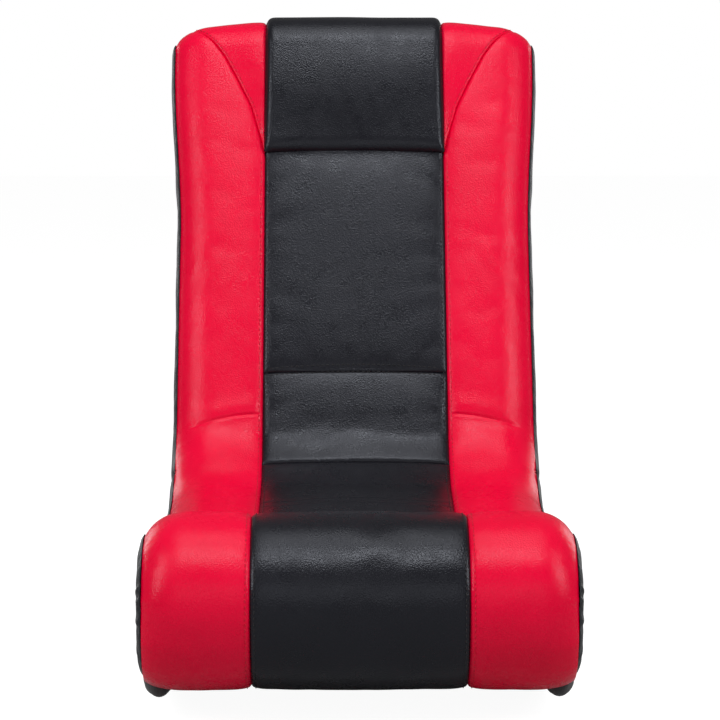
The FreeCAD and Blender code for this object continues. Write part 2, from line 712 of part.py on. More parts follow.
def hinge_bay(side, frame):
    low, high = frame.bolt_in - size("bay_spare"), frame.head_out + size("bay_spare")
    return [rod(side.pivot, size("bay_radius"), low, high),
            rod(side.pivot, size("bay_radius"), -high, -low)]


def cleared(shape, rooms):
    """Takes the rooms away one by one, which keeps the padding sound."""
    for room in rooms:
        shape = shape.cut(room)
    return shape


def whole(shape):
    """Drops crumbs that the cuts leave, under a hundredth of the largest piece."""
    largest = max(solid.Volume for solid in shape.Solids)
    kept = [solid for solid in shape.Solids if solid.Volume > largest / 100]
    return kept[0] if len(kept) == 1 else Part.makeCompound(kept)


def both_sides(room):
    return [room, room.mirror(V(0, 0, 0), X_AXIS)]


def runner_room(frame):
    wire, start = frame.runner_path(size("plug_rim") + size("fit_gap"))
    shift = V(size("rail_x"), 0, 0)
    radius = frame.sleeve_radius + size("fit_gap")
    return both_sides(pipe_room(wire.translated(shift), start + shift, 0, radius))


def seat_room(side, frame):
    gap = size("fit_gap")
    half = frame.bracket_out + gap
    radius = size("tube_radius") + gap
    room = [rod(at, radius, -half, half)
            for at in (frame.front_tube, frame.middle_tube, frame.rear_tube)]
    room += runner_room(frame)
    bracket = plate_room(bracket_curves(side, frame, gap), frame.bracket_in - gap, half)
    room += both_sides(bracket)
    pin_in = frame.arm_in - size("side_play") - gap
    room += both_sides(rod(stop_pin_place(side), size("stop_radius") + gap, pin_in, half))
    return room + hinge_bay(side, frame)


def seat_strap_room(frame):
    start, direction, length = seat_strap_line(frame)
    gap = size("fit_gap")
    up = unit(angle_of(direction) + 90) * (size("strap_thickness") / 2 + gap)
    a, b = start - direction * gap, start + direction * (length + gap)
    width = size("strap_width") / 2 + gap
    room = []
    for number in range(SEAT_STRAPS):
        x = seat_strap_middle(number)
        room.append(prism([a - up, b - up, b + up, a + up], x - width, x + width))
    return room


def back_room(side, frame):
    gap = size("fit_gap")
    radius, depth = size("tube_radius") + gap, size("hoop_depth")
    wire, start = hoop_path(side, frame, gap)
    room = [pipe_room(wire, start, size("back_slope") - 90, radius + gap)]
    for along in (size("lower_tube_at"), upper_tube_at()):
        room.append(rod(side.on_back(along, depth), radius, -frame.hoop_x, frame.hoop_x))
    for curves in arm_curves(side, gap):
        plate = plate_room(curves, frame.arm_in - gap, frame.arm_out + gap)
        room += both_sides(plate)
    bracket = bracket_curves(side, frame, gap)
    room += both_sides(plate_room(bracket, frame.bracket_in - gap, frame.bracket_out + gap))
    return room + hinge_bay(side, frame)


# padding and covers

def mirrored(label, shape):
    padding(label + "_left", shape.mirror(V(0, 0, 0), X_AXIS))
    padding(label + "_right", shape)


def seat_padding(side, frame):
    """Roll, seat pad and base of foam, and the covers that are sewn round them."""
    half, cover, gap = size("seat_half_width"), size("cover_thickness"), size("fit_gap")
    lining, seam = size("lining_thickness"), size("centre_half_width")
    own = own_side_of_fold(side, -1, 0)
    rooms = seat_room(side, frame)
    shell = padded_form(side, half, 0).cut(padded_form(side, half, cover))
    shell = cleared(shell.common(own), rooms)
    edge = half - size("side_seam")
    lower_front, lower_rear = side.roll + V(0, gap, 0), frame.rear_tube
    underside = prism([lower_front - V(0, 0, FAR), lower_front, lower_rear, side.pivot,
                       side.pivot + V(0, FAR, 0), side.pivot + V(0, FAR, -FAR)], -FAR, FAR)
    lower, upper = shell.common(underside), shell.cut(underside)
    runner = size("rail_x")
    sides = upper.common(slab(edge, FAR)).fuse(lower.common(slab(runner, FAR))).removeSplitter()
    mirrored("seat_side", sides)
    padding("underside_cloth", lower.common(slab(-runner, runner)))
    mirrored("seat_cover", upper.common(slab(seam, edge)))
    padding("seat_panel", upper.common(slab(-seam, seam)))
    foam = cleared(padded_form(side, half, cover + gap).common(own), rooms)
    within = own_side_of_fold(side, -1, lining + gap)
    padding("seat_end_cloth", foam.cut(own_side_of_fold(side, -1, lining)))
    foam = cleared(foam.common(within), seat_strap_room(frame))
    start, direction, _ = seat_strap_line(frame)
    up = unit(angle_of(direction) + 90) * (size("strap_thickness") / 2 + gap)
    split = V(0, size("seat_foam_split") - side.depth / 2, 0)
    roll_block = Part.makeBox(2 * FAR, FAR, 2 * FAR, V(-FAR, split.y - FAR, -FAR))
    seat_block = Part.makeBox(2 * FAR, FAR, 2 * FAR, V(-FAR, split.y + gap, -FAR))
    a, b = start - direction * FAR, start + direction * FAR
    above = prism([a + up, b + up, b + up * FAR, a + up * FAR], -FAR, FAR)
    below = prism([a - up, b - up, b - up * FAR, a - up * FAR], -FAR, FAR)
    padding("roll_foam", foam.common(roll_block))
    seat_foam = foam.common(seat_block)
    padding("seat_foam_pad", seat_foam.common(above))
    padding("seat_foam_base", seat_foam.common(below))


def gusset_block(side):
    """The shoulder gusset lies between the headrest and a seam that bends out to the top edge."""
    seam = size("centre_half_width")
    outline = [(seam, size("headrest_start")),
               (seam + size("gusset_width"), size("gusset_height")),
               (seam + size("gusset_top_width"), size("gusset_top")),
               (seam + size("gusset_top_width"), FAR), (seam, FAR)]
    above = size("headrest_rise") * 2
    corners = [side.on_back(along, -above) + V(x, 0, 0) for x, along in outline]
    face = Part.Face(Part.makePolygon(corners + corners[:1]))
    return face.extrude(side.back_up * -(above + size("top_round")))


def back_padding(side, frame):
    """Front and rear foam, and the covers that are sewn round them."""
    half, cover, gap = size("back_half_width"), size("cover_thickness"), size("fit_gap")
    lining, seam = size("lining_thickness"), size("centre_half_width")
    own = own_side_of_fold(side, 1, 0)
    rooms = back_room(side, frame)
    shell = padded_form(side, half, 0).cut(padded_form(side, half, cover))
    shell = cleared(shell.common(own), rooms)
    edge = half - size("side_seam")
    front = between(side, -FAR, FAR, -FAR, size("top_round"))
    mirrored("back_side", shell.common(slab(edge, FAR)))
    padding("rear_cloth", shell.cut(front).common(slab(-edge, edge)))
    upper = shell.common(front)
    red = upper.common(slab(seam, edge))
    gusset = gusset_block(side)
    mirrored("back_cover", red.cut(gusset))
    mirrored("shoulder_gusset", red.common(gusset))
    centre = upper.common(slab(-seam, seam))
    lumbar = between(side, -FAR, size("lumbar_seam"), -FAR, FAR)
    padding("lumbar_panel", centre.common(lumbar))
    padding("back_panel", centre.cut(lumbar))
    foam = cleared(padded_form(side, half, cover + gap).common(own), rooms)
    padding("back_end_cloth", foam.cut(own_side_of_fold(side, 1, lining)))
    foam = foam.common(own_side_of_fold(side, 1, lining + gap))
    split = size("strap_thickness") / 2 + gap
    depth = size("hoop_depth")
    padding("back_foam_front", foam.common(between(side, -FAR, FAR, -FAR, depth - split)))
    padding("back_foam_rear", foam.common(between(side, -FAR, FAR, depth + split, FAR)))


def headrest_outline(side, x, rise, inset):
    """The headrest in the side view: up the front of the back and over its top."""
    low, length = size("headrest_start") + inset, size("headrest_end_round")
    sink, low_rise = size("edge_depth") / 2, rise * size("headrest_low_share")
    inner, outer = size("top_round") - sink, size("top_round") + rise
    start, end = side.back_angle, side.back_angle - size("headrest_wrap") + inset
    lean = math.sqrt(0.5)
    foot = side.on_back(low, 0)
    swell = side.on_back(low + length * (1 - lean), -low_rise * lean)
    front_low, front_high = side.on_back(low + length, -low_rise), side.top + unit(start) * outer
    edges = [
        Part.LineSegment(side.on_back(low, sink), foot).toShape(),
        Part.Arc(foot, swell, front_low).toShape(),
        Part.LineSegment(front_low, front_high).toShape(),
        arc_edge(side.top, outer, start, end),
        Part.LineSegment(side.top + unit(end) * outer, side.top + unit(end) * inner).toShape(),
        arc_edge(side.top, inner, end, start),
        Part.LineSegment(side.top + unit(start) * inner, side.on_back(low, sink)).toShape(),
    ]
    outline = Part.Wire(edges)
    outline.translate(V(x, 0, 0))
    return outline


def headrest_form(side, inset):
    """Sections from side to side: full in the middle, rounded off at the sides."""
    half, rise = size("centre_half_width") - inset, size("headrest_rise")
    edge = size("headrest_edge_rise")
    fall = ((0, rise), (0.5, 0.97 * rise + 0.03 * edge), (0.86, edge), (0.96, 0.6 * edge),
            (1, 0.25 * edge))
    stations = [(share * half, high - 0.6 * inset) for share, high in fall]
    whole_width = [(-x, high) for x, high in reversed(stations[1:])] + stations
    sections = [headrest_outline(side, x, high, inset) for x, high in whole_width]
    return Part.makeLoft(sections, True, False)


def headrest(side):
    half, gap = size("back_half_width"), size("fit_gap")
    outer = headrest_form(side, 0).cut(padded_form(side, half, -gap))
    foam = headrest_form(side, size("cover_thickness"))
    foam = foam.cut(padded_form(side, half, -gap - size("lining_thickness")))
    padding("headrest_cover", outer.cut(foam))
    padding("headrest_foam", foam)


NODES = (
    "runner_tube_left", "runner_tube_right", "runner_sleeve_left", "runner_sleeve_right",
    "runner_plugs", "front_cross_tube", "middle_cross_tube", "rear_cross_tube", "seat_webbing",
    "roll_foam", "seat_foam_pad", "seat_foam_base", "seat_panel", "seat_cover_left",
    "seat_cover_right", "seat_side_left", "seat_side_right", "underside_cloth", "seat_end_cloth",
    "hinge_bracket_left", "hinge_bracket_right", "stop_pins", "pivot_bolts", "pivot_washers",
    "lock_nuts",
    "back_hoop", "lower_back_tube", "upper_back_tube", "back_webbing", "back_foam_front",
    "back_foam_rear", "headrest_foam", "headrest_cover", "back_panel", "lumbar_panel",
    "back_cover_left", "back_cover_right", "shoulder_gusset_left", "shoulder_gusset_right",
    "back_side_left", "back_side_right", "rear_cloth", "back_end_cloth", "hinge_arm_left",
    "hinge_arm_right", "pivot_bushes",
)


def main():
    fill_sheet()
    side = Side()
    frame = Frame(side)
    runners(side, frame)
    plugs(frame)
    seat_tubes(frame)
    seat_straps(frame)
    back_tubes(side, frame)
    hinges(side, frame)
    seat_padding(side, frame)
    back_padding(side, frame)
    headrest(side)
    DOC.recompute()
    for item in DOC.Objects:
        if "Invalid" in item.State or "Error" in item.State:
            raise RuntimeError("%s failed" % item.Label)
    os.makedirs("parts", exist_ok=True)
    for node in NODES:
        shape = DOC.getObject(node).Shape
        if shape.isNull() or not shape.isValid() or not shape.Solids:
            raise RuntimeError("%s has no valid solid" % node)
    for node in NODES:
        DOC.getObject(node).Shape.exportStep("parts/%s.step" % node)
        shape = DOC.getObject(node).Shape
        print("%-24s %2d solids %12.1f mm3" % (node, len(shape.Solids), shape.Volume))


main()
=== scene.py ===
import json
import math

import bmesh
import bpy
import numpy as np
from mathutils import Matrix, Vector


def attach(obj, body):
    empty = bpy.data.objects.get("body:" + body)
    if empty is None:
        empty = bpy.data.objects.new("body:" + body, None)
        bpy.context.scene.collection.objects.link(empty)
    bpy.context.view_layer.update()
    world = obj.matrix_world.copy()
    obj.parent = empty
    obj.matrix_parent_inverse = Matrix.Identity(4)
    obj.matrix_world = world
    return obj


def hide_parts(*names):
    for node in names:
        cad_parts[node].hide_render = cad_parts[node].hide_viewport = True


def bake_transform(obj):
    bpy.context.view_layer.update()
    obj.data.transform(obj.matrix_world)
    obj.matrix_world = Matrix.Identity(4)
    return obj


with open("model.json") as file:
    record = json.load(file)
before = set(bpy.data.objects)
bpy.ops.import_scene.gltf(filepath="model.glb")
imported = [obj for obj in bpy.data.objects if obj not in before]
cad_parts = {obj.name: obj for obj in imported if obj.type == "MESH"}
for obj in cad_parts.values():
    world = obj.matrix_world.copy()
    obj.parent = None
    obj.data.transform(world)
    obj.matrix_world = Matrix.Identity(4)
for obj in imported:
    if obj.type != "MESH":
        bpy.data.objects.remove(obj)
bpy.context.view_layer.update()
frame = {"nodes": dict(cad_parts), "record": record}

# side view: centre y and z, radius (negative where hollow), and the turn of the outward direction
ROLL_HEIGHT = 0.12038
ROLL_RADIUS = 0.083
ROLL_START = 258.51
TOP_RADIUS = 0.036
UNDER_MIDDLE = 0.02035
ARCS = (
    ("roll", -0.30165, ROLL_HEIGHT, ROLL_RADIUS, ROLL_START, 41.69),
    ("hollow", -0.18741, 0.22215, -0.070, 41.69, 98.0),
    ("waist", 0.00236, 0.30941, -0.130, 98.0, 155.0),
    ("top", 0.34865, 0.65925, TOP_RADIUS, 155.0, -22.0),
    ("bend", 0.06948, 0.08575, 0.080, -22.0, -88.26),
    ("under", UNDER_MIDDLE, 1.70500, 1.700, -88.26, -101.49),
)
ARC_PITCH = 0.001

# side view: the corner of seat and back, the fold's axis, and the hind end of a runner tube
CORNER = np.array((0.09035, 0.1905))
PIVOT = np.array((0.08801, 0.19366))
TUBE_END = np.array((0.112, 0.125))
FOLD_GAP = 0.002

# half the width behind the roll, and how much wider shoulders and roll are
HALF_WIDTH = 0.2080
SHOULDER_FLARE = 0.0105
ROLL_FLARE = 0.0070

# across the chair: the seam of black and red, and the rounding of the padded sides
SEAM = 0.105
OUTER_SEAM = 0.006
EDGE_WIDTH = 0.045
EDGE_DEPTH = 0.032

# up the back: the seam over the lumbar panel, the headrest's lower seam, the slanted shoulder seam
LUMBAR_SEAM = 0.122
HEADREST_START = 0.396
SHOULDER_HEIGHTS = (0.396, 0.456, 0.4835, 0.502, 0.523, 0.541, 0.565, 0.62)
SHOULDER_PLACES = (0.105, 0.122, 0.135, 0.144, 0.155, 0.168, 0.190, 0.215)

# mesh pitch of the front covers, of their creases, and of the plain cloths
STEP = 0.0045
CREASE_STEP = 0.0013
PLAIN_STEP = 0.008
DRAPE_STEP = 0.005


def unit(degrees):
    angle = np.radians(degrees)
    return np.stack((np.cos(angle), np.sin(angle)), axis=-1)


def smooth(low, high, value):
    share = np.clip((value - low) / (high - low), 0.0, 1.0)
    return share * share * (3 - 2 * share)


def bump(value, middle, width):
    return np.exp(-((value - middle) / width) ** 2)


def rounded(share):
    """Quarter-circle rise from an edge, full from a share of 1 on."""
    return np.sqrt(1 - (1 - np.clip(share, 0.0, 1.0)) ** 2)


def distances(line):
    """How far along a line of points each point lies."""
    gaps = np.linalg.norm(np.diff(line, axis=0), axis=1)
    return np.concatenate(([0.0], np.cumsum(gaps)))


def resample(line, count):
    walked = distances(line)
    even = np.linspace(0, walked[-1], count)
    return np.stack([np.interp(even, walked, line[:, k]) for k in (0, 1)], -1)


class Outline:
    """The side outline: points and outward directions by the distance walked from the roll's bottom."""

    def __init__(self):
        points, normals, self.marks = [], [], {}
        walked = 0.0
        previous = None
        for name, y, z, radius, start, end in ARCS:
            count = max(8, int(abs(radius) * abs(math.radians(end - start)) / ARC_PITCH))
            turn = np.linspace(start, end, count)
            arc = np.array((y, z)) + radius * unit(turn)
            if previous is not None:
                walked += float(np.linalg.norm(arc[0] - previous))
            self.marks[name] = walked
            walked += float(distances(arc)[-1])
            self.marks[name + "_end"] = walked
            points.append(arc)
            normals.append(unit(turn))
            previous = arc[-1]
        self.points = np.concatenate(points)
        self.normals = np.concatenate(normals)
        self.walk = distances(self.points)
        self.length = self.walk[-1]

    def at(self, walk):
        """Points and outward directions, walking on past the start if need be."""
        walk = np.mod(np.asarray(walk, float), self.length)
        point = np.stack([np.interp(walk, self.walk, self.points[:, k]) for k in (0, 1)], axis=-1)
        normal = np.stack([np.interp(walk, self.walk, self.normals[:, k]) for k in (0, 1)], axis=-1)
        return point, normal / np.linalg.norm(normal, axis=-1, keepdims=True)


OUTLINE = Outline()
MARK = OUTLINE.marks

# walks: the roll's foot, the fold line, half the length that bends there, the back's zero, its seams, its top
FRONT_START = -0.0173
FOLD = (MARK["waist"] + MARK["waist_end"]) / 2
LIP = 0.0216
BACK_ZERO = MARK["waist_end"] - 0.0706
LUMBAR_TOP = BACK_ZERO + LUMBAR_SEAM
PILLOW_START = BACK_ZERO + HEADREST_START
TOP_MIDDLE = MARK["top"] + TOP_RADIUS * math.radians(90)
CREASE_ZONES = ((MARK["waist_end"] - 0.030, MARK["waist_end"] + 0.012), (FOLD - 0.132, FOLD - 0.097))

# hems turned in at the seams
HEM_WIDTH = 0.0012
HEM_DEPTH = 0.0020

# side view: directions up the back, across the fold's slit towards the back, and up the slit
ALONG = unit(65.0)
FOLD_ALONG = unit(36.5)
FOLD_UP = unit(126.5)


def roll_share(point):
    """1 on the front roll, 0 behind it."""
    return 1 - smooth(-0.26, -0.17, point[..., 0])


def half_width(point):
    """Half the chair's width: full at the roll, slimmer behind it, flared at the shoulders."""
    up = (point - CORNER) @ ALONG
    back = HALF_WIDTH + SHOULDER_FLARE * smooth(0.30, 0.52, up)
    return np.where(up > 0.0, back, HALF_WIDTH + ROLL_FLARE * roll_share(point))


def side_seam(point):
    """How far the side seam lies inside the chair's side."""
    return 0.0048 + 0.0010 * roll_share(point)


def edge_depth(point):
    """Depth of the rounding at the sides."""
    lift = (point[..., 1] - ROLL_HEIGHT) / ROLL_RADIUS
    more_on_top = 0.009 * smooth(0.1, 0.8, lift)
    less_in_front = 0.019 * (1 - smooth(-0.9, 0.1, lift))
    from_fold = point - PIVOT
    under_fold = smooth(0.0, 0.05, -(from_fold @ FOLD_UP))
    less_behind_fold = 0.021 * bump(from_fold @ FOLD_ALONG, 0.0, 0.085) * under_fold
    return EDGE_DEPTH + roll_share(point) * (more_on_top - less_in_front) - less_behind_fold


def edge_inset(x, half, deep):
    """How far the padding draws in towards its side edges."""
    return deep * (1 - rounded((half - np.abs(x)) / EDGE_WIDTH))


def fold_point(along, up):
    return PIVOT + along * FOLD_ALONG + up * FOLD_UP


def wave_noise(seed, first, second, scale):
    """Smooth noise from a few sine waves in seeded directions, about -1 to 1, the same on every run."""
    terms = 9
    chance = np.random.RandomState(seed)
    total = np.zeros(np.broadcast(first, second).shape)
    for _ in range(terms):
        angle, phase = chance.uniform(0, 2 * math.pi, 2)
        pitch = chance.uniform(0.6, 1.7) / scale
        place = first * math.cos(angle) + second * math.sin(angle)
        total += np.sin(2 * math.pi * pitch * place + phase)
    return total / math.sqrt(terms)


# relief of the covers, outwards in metres, by walk along the outline and place across the chair

def gusset_seam(up):
    """Place across the chair of the slanted shoulder seam."""
    return np.interp(up, SHOULDER_HEIGHTS, SHOULDER_PLACES)


def lumbar_seam(side):
    """Walk of the seam over the lumbar panel, a little higher in the middle."""
    return LUMBAR_TOP + 0.004 * (1 - (np.minimum(side, SEAM) / SEAM) ** 2)


def pillow_rise(up):
    """Thickness of the headrest up the back: thin at its lower seam, full at the top."""
    return 0.0070 + 0.0070 * smooth(HEADREST_START, 0.52, up)


def red_share(side, half):
    """0 at the inner seam of a red panel, 1 at its outer seam."""
    return np.clip((side - SEAM) / (half - OUTER_SEAM - SEAM), 0, 1)


def seam_dip(distance, pull, pull_width, groove, groove_width):
    """Depth at a seam: a wide pull in the padding and a narrow groove at the thread."""
    return pull * bump(distance, 0, pull_width) + groove * bump(distance, 0, groove_width)


def panel_crown(walk, side, half):
    """Crown of the black strip and the red panels, fuller behind the roll."""
    behind_roll = smooth(MARK["roll_end"] - 0.02, MARK["hollow_end"], walk)
    black_height = 0.0010 + 0.0016 * behind_roll
    red_height = 0.0012 + 0.0018 * behind_roll
    black = black_height * np.clip(1 - (side / SEAM) ** 2, 0, 1)
    red = red_height * np.sin(math.pi * red_share(side, half)) ** 0.8
    return np.where(side < SEAM, black, red)


def black_relief(walk, side):
    """On the black strip: fold line, lumbar seam, the lumbar panel's swell, two creases over the seat."""
    lumbar_middle = FOLD + 0.058
    relief = 0.0014 * bump(walk, lumbar_middle, 0.034)
    relief -= seam_dip(walk - FOLD, 0.0006, 0.007, 0.0016, 0.0020)
    relief -= seam_dip(walk - lumbar_seam(side), 0.0006, 0.008, 0.0012, 0.0016)
    wander = 0.003 * np.sin(side * 45 + 1.0)
    for place, depth in ((0.1225, 0.0008), (0.1055, 0.0007)):
        relief -= depth * bump(walk, FOLD - place + wander, 0.0026)
    return relief * (1 - smooth(SEAM - 0.004, SEAM + 0.001, side))


def red_crease(walk, side, half):
    """The crease over each red panel, from the inner seam down to the side, and its swollen lips."""
    share = red_share(side, half)
    crease = MARK["waist_end"] + 0.001 - 0.022 * share ** 1.6
    upper_lip = 0.0009 * bump(walk, crease + 0.010, 0.012)
    lower_lip = 0.0008 * bump(walk, crease - 0.020, 0.016)
    groove = 0.0016 * bump(walk, crease, 0.0016)
    fade = smooth(SEAM + 0.001, SEAM + 0.010, side) * (1 - smooth(0.60, 0.93, share))
    return (upper_lip + lower_lip - groove) * fade


def shoulder_relief(walk, side):
    """The slanted shoulder seam, and the gusset that rises from it to the headrest."""
    below_pillow, least_width = 0.0035, 0.002
    up = walk - BACK_ZERO
    start = smooth(0.39, 0.41, up) * smooth(SEAM, SEAM + 0.004, side)
    dip = start * seam_dip(side - gusset_seam(up), 0.0003, 0.0060, 0.0009, 0.0013)
    width = np.maximum(gusset_seam(up) - SEAM, least_width)
    climb = np.clip(1 - (side - SEAM) / width, 0, 1)
    return smooth(0.39, 0.42, up) * (pillow_rise(up) - below_pillow) * climb ** 1.5 - dip


def cover_relief(walk, x, half):
    """Relief of the front covers: crowned panels, seams drawn in, the fold and the creases."""
    side = np.abs(x)
    relief = panel_crown(walk, side, half)
    relief = relief - seam_dip(side - SEAM, 0.0012, 0.009, 0.0011, 0.0016)
    relief -= 0.0014 * bump(side, half - 0.005, 0.003)
    full_foot = 0.0060 * smooth(FRONT_START, 0.004, walk) * (1 - smooth(0.03, 0.10, walk))
    over_hinge = smooth(0.115, 0.150, side)
    pushed_up_at_fold = (0.0010 + 0.0020 * over_hinge) * bump(walk, FOLD, 0.032)
    relief += full_foot + pushed_up_at_fold
    return relief + black_relief(walk, side) + red_crease(walk, side, half) + shoulder_relief(walk, side)


def seam_pulls(walk, side, half):
    """Small gathers beside the seams, strongest at the sides of the roll."""
    off = np.minimum(np.abs(side - SEAM), np.abs(side - (half - OUTER_SEAM)))
    gathers = wave_noise(5, walk, side * 0.12, 0.014) * np.exp(-off / 0.010)
    roll = 1 - smooth(MARK["roll_end"] - 0.02, MARK["roll_end"] + 0.04, walk)
    strength = 0.00022 + 0.0005 * roll * smooth(SEAM + 0.04, half - 0.02, side)
    calmer = 0.6 * smooth(0.05, 0.2, walk - BACK_ZERO) * smooth(SEAM + 0.03, half, side)
    return strength * (1 - calmer) * gathers


def slanted_pulls(walk, side):
    """Faint slanted pulls across the lower red panels of the back."""
    pitch, height = 0.034, 0.00022
    up = walk - BACK_ZERO
    slant = (up - 0.20) * 0.8 + (side - 0.16) * 1.4
    zone = bump(up, 0.24, 0.05) * bump(side, 0.175, 0.035) * smooth(SEAM, 0.13, side)
    return height * np.sin(slant * 2 * math.pi / pitch) * zone


def draped(walk, x):
    """Moves of the blown cloths, outwards only over the hinges."""
    move = sum(drape.at(walk, x) for drape in DRAPES)
    over_hinge = smooth(0.13, 0.16, np.abs(x)) * bump(walk, FOLD, 0.04)
    return move - np.minimum(move, 0) * over_hinge


def cover_wrinkles(walk, x, half):
    """Slackness of the panels and small pulls beside their seams."""
    side = np.abs(x)
    slack = 0.00016 * wave_noise(3, walk, x, 0.20) + 0.00003 * wave_noise(4, walk, x, 0.060)
    return slack + seam_pulls(walk, side, half) + slanted_pulls(walk, side) + draped(walk, x)


# cloth blown up on its held seams

class Drape:
    """Outward moves of one zone's cloth, by walk along the outline and place across the chair."""

    def __init__(self, seed, start, end, low, high):
        self.walk = spread(start, end, DRAPE_STEP)
        self.x = spread(low, high, DRAPE_STEP)
        self.field = blown_cloth(seed, self.walk, self.x)

    def at(self, walk, x):
        """The move at each place, none outside the zone."""
        inside = (walk >= self.walk[0]) & (walk <= self.walk[-1]) & (x >= self.x[0]) & (x <= self.x[-1])
        row, down = cell_of(walk, self.walk)
        column, across = cell_of(x, self.x)
        field = self.field
        near = field[row, column] * (1 - across) + field[row, column + 1] * across
        far = field[row + 1, column] * (1 - across) + field[row + 1, column + 1] * across
        return np.where(inside, near * (1 - down) + far * down, 0.0)


def cell_of(value, ticks):
    """The number of the cell between ticks that holds each value, and the share of it passed."""
    place = np.clip(np.interp(value, ticks, np.arange(len(ticks))), 0, len(ticks) - 1.001)
    cell = place.astype(int)
    return cell, place - cell


def cloth_start(seed, walk, x):
    """Points of a zone before it is blown up, a little rough so that it may fold."""
    roughness = 0.00025
    point, normal = OUTLINE.at(walk)
    half = half_width(point)
    chance = np.random.RandomState(seed)
    grid = np.zeros((len(walk), len(x), 3))
    for r in range(len(walk)):
        offset = roughness * chance.uniform(-1, 1, len(x)) - edge_inset(x, half[r], edge_depth(point[r]))
        grid[r, :, 0] = x
        grid[r, :, 1:] = point[r] + offset[:, None] * normal[r]
    return grid, normal


def hold_seams(piece, walk, x):
    """Holds the cloth at its seams, and very weakly inside them."""
    held_width, inner_hold = 0.006, 0.06
    ends = np.minimum(walk - walk[0], walk[-1] - walk)[:, None]
    sides = np.minimum(x - x[0], x[-1] - x)[None, :]
    held = piece.vertex_groups.new(name="held")
    for index, distance in enumerate(np.minimum(ends, sides).ravel()):
        held.add([index], float(max(1.0 - distance / held_width, inner_hold)), "REPLACE")
    return held


def set_cloth(piece, held):
    """Thin coated cloth, cut a little large, under light air pressure."""
    modifier = piece.modifiers.new("cloth", "CLOTH")
    cloth = modifier.settings
    cloth.quality = 6
    cloth.mass = 0.2
    cloth.tension_stiffness = cloth.compression_stiffness = 25.0
    cloth.shear_stiffness = 10.0
    cloth.bending_stiffness = 6.0
    cloth.use_pressure = True
    cloth.uniform_pressure_force = 4.0
    cloth.vertex_group_mass = held.name
    cloth.pin_stiffness = 1.0
    cloth.shrink_min = -0.005
    cloth.effector_weights.gravity = 0.0
    modifier.collision_settings.use_collision = False


def evened(field):
    """Each value mixed with its four neighbours, twice."""
    for _ in range(2):
        wide = np.pad(field, 1, mode="edge")
        beside = wide[:-2, 1:-1] + wide[2:, 1:-1] + wide[1:-1, :-2] + wide[1:-1, 2:]
        field = (beside + 4 * field) / 8
    return field


def blown_cloth(seed, walk, x):
    """Runs the cloth of one zone and gives how far each of its places moves outwards."""
    frames, most, softness = 20, 0.0019, 0.0050
    grid, normal = cloth_start(seed, walk, x)
    piece = grid_object("cloth", grid)
    set_cloth(piece, hold_seams(piece, walk, x))
    scene = bpy.context.scene
    for number in range(1, frames + 1):
        scene.frame_set(number)
    shaped = piece.evaluated_get(bpy.context.evaluated_depsgraph_get()).to_mesh()
    after = np.zeros(grid.size)
    shaped.vertices.foreach_get("co", after)
    moved = after.reshape(grid.shape) - grid
    bpy.data.objects.remove(piece)
    scene.frame_set(1)
    out = np.einsum("rck,rk->rc", moved[..., 1:], normal)
    return most * np.tanh(evened(out) / softness)


def drapes():
    """The blown cloths: seat, lumbar and back panel, and the two red sides."""
    outer = 0.202
    return [
        Drape(41, FRONT_START, FOLD, -SEAM, SEAM),
        Drape(42, FOLD, LUMBAR_TOP, -SEAM, SEAM),
        Drape(43, LUMBAR_TOP, PILLOW_START, -SEAM, SEAM),
        Drape(44, FRONT_START, TOP_MIDDLE, -outer, -SEAM),
        Drape(45, FRONT_START, TOP_MIDDLE, SEAM, outer),
    ]


# meshes

def smooth_shade(mesh):
    mesh.polygons.foreach_set("use_smooth", [True] * len(mesh.polygons))


def mesh_object(name, vertices, faces):
    mesh = bpy.data.meshes.new(name)
    mesh.from_pydata([tuple(map(float, v)) for v in vertices], [], faces)
    mesh.update()
    smooth_shade(mesh)
    piece = bpy.data.objects.new(name, mesh)
    bpy.context.scene.collection.objects.link(piece)
    return piece


def grid_faces(rows, columns, flip=False):
    faces = []
    for r in range(rows - 1):
        for c in range(columns - 1):
            first = r * columns + c
            quad = (first, first + 1, first + columns + 1, first + columns)
            faces.append(tuple(reversed(quad)) if flip else quad)
    return faces


def grid_object(name, points, flip=False):
    rows, columns = points.shape[:2]
    return mesh_object(name, points.reshape(-1, 3), grid_faces(rows, columns, flip))


def subdivide(piece):
    """One level of subdivision, applied."""
    fine = piece.modifiers.new("fine", "SUBSURF")
    fine.levels = fine.render_levels = 1
    graph = bpy.context.evaluated_depsgraph_get()
    mesh = bpy.data.meshes.new_from_object(piece.evaluated_get(graph))
    piece.modifiers.clear()
    old = piece.data
    piece.data = mesh
    bpy.data.meshes.remove(old)
    smooth_shade(mesh)


def weld(piece):
    """Joins points that coincide and turns all faces outwards."""
    work = bmesh.new()
    work.from_mesh(piece.data)
    bmesh.ops.remove_doubles(work, verts=work.verts, dist=0.00002)
    bmesh.ops.recalc_face_normals(work, faces=work.faces)
    work.to_mesh(piece.data)
    work.free()
    smooth_shade(piece.data)


def spread(start, end, step=STEP):
    return np.linspace(start, end, max(3, int(round(abs(end - start) / step)) + 1))


def fine_rows(start, end, hem_start=False, hem_end=False):
    """Walks for a cover: an even pitch, closer at the creases, and one row just inside a hem."""
    margin, least = 0.002, 0.0004
    walk = list(spread(start, end))
    for low, high in CREASE_ZONES:
        close = np.arange(low, high, CREASE_STEP)
        walk += list(close[(close > start + margin) & (close < end - margin)])
    if hem_start:
        walk.append(start + HEM_WIDTH)
    if hem_end:
        walk.append(end - HEM_WIDTH)
    walk = np.sort(walk)
    keep = np.concatenate(([True], np.diff(walk) > least))
    keep[-1] = True
    return walk[keep]


# covers

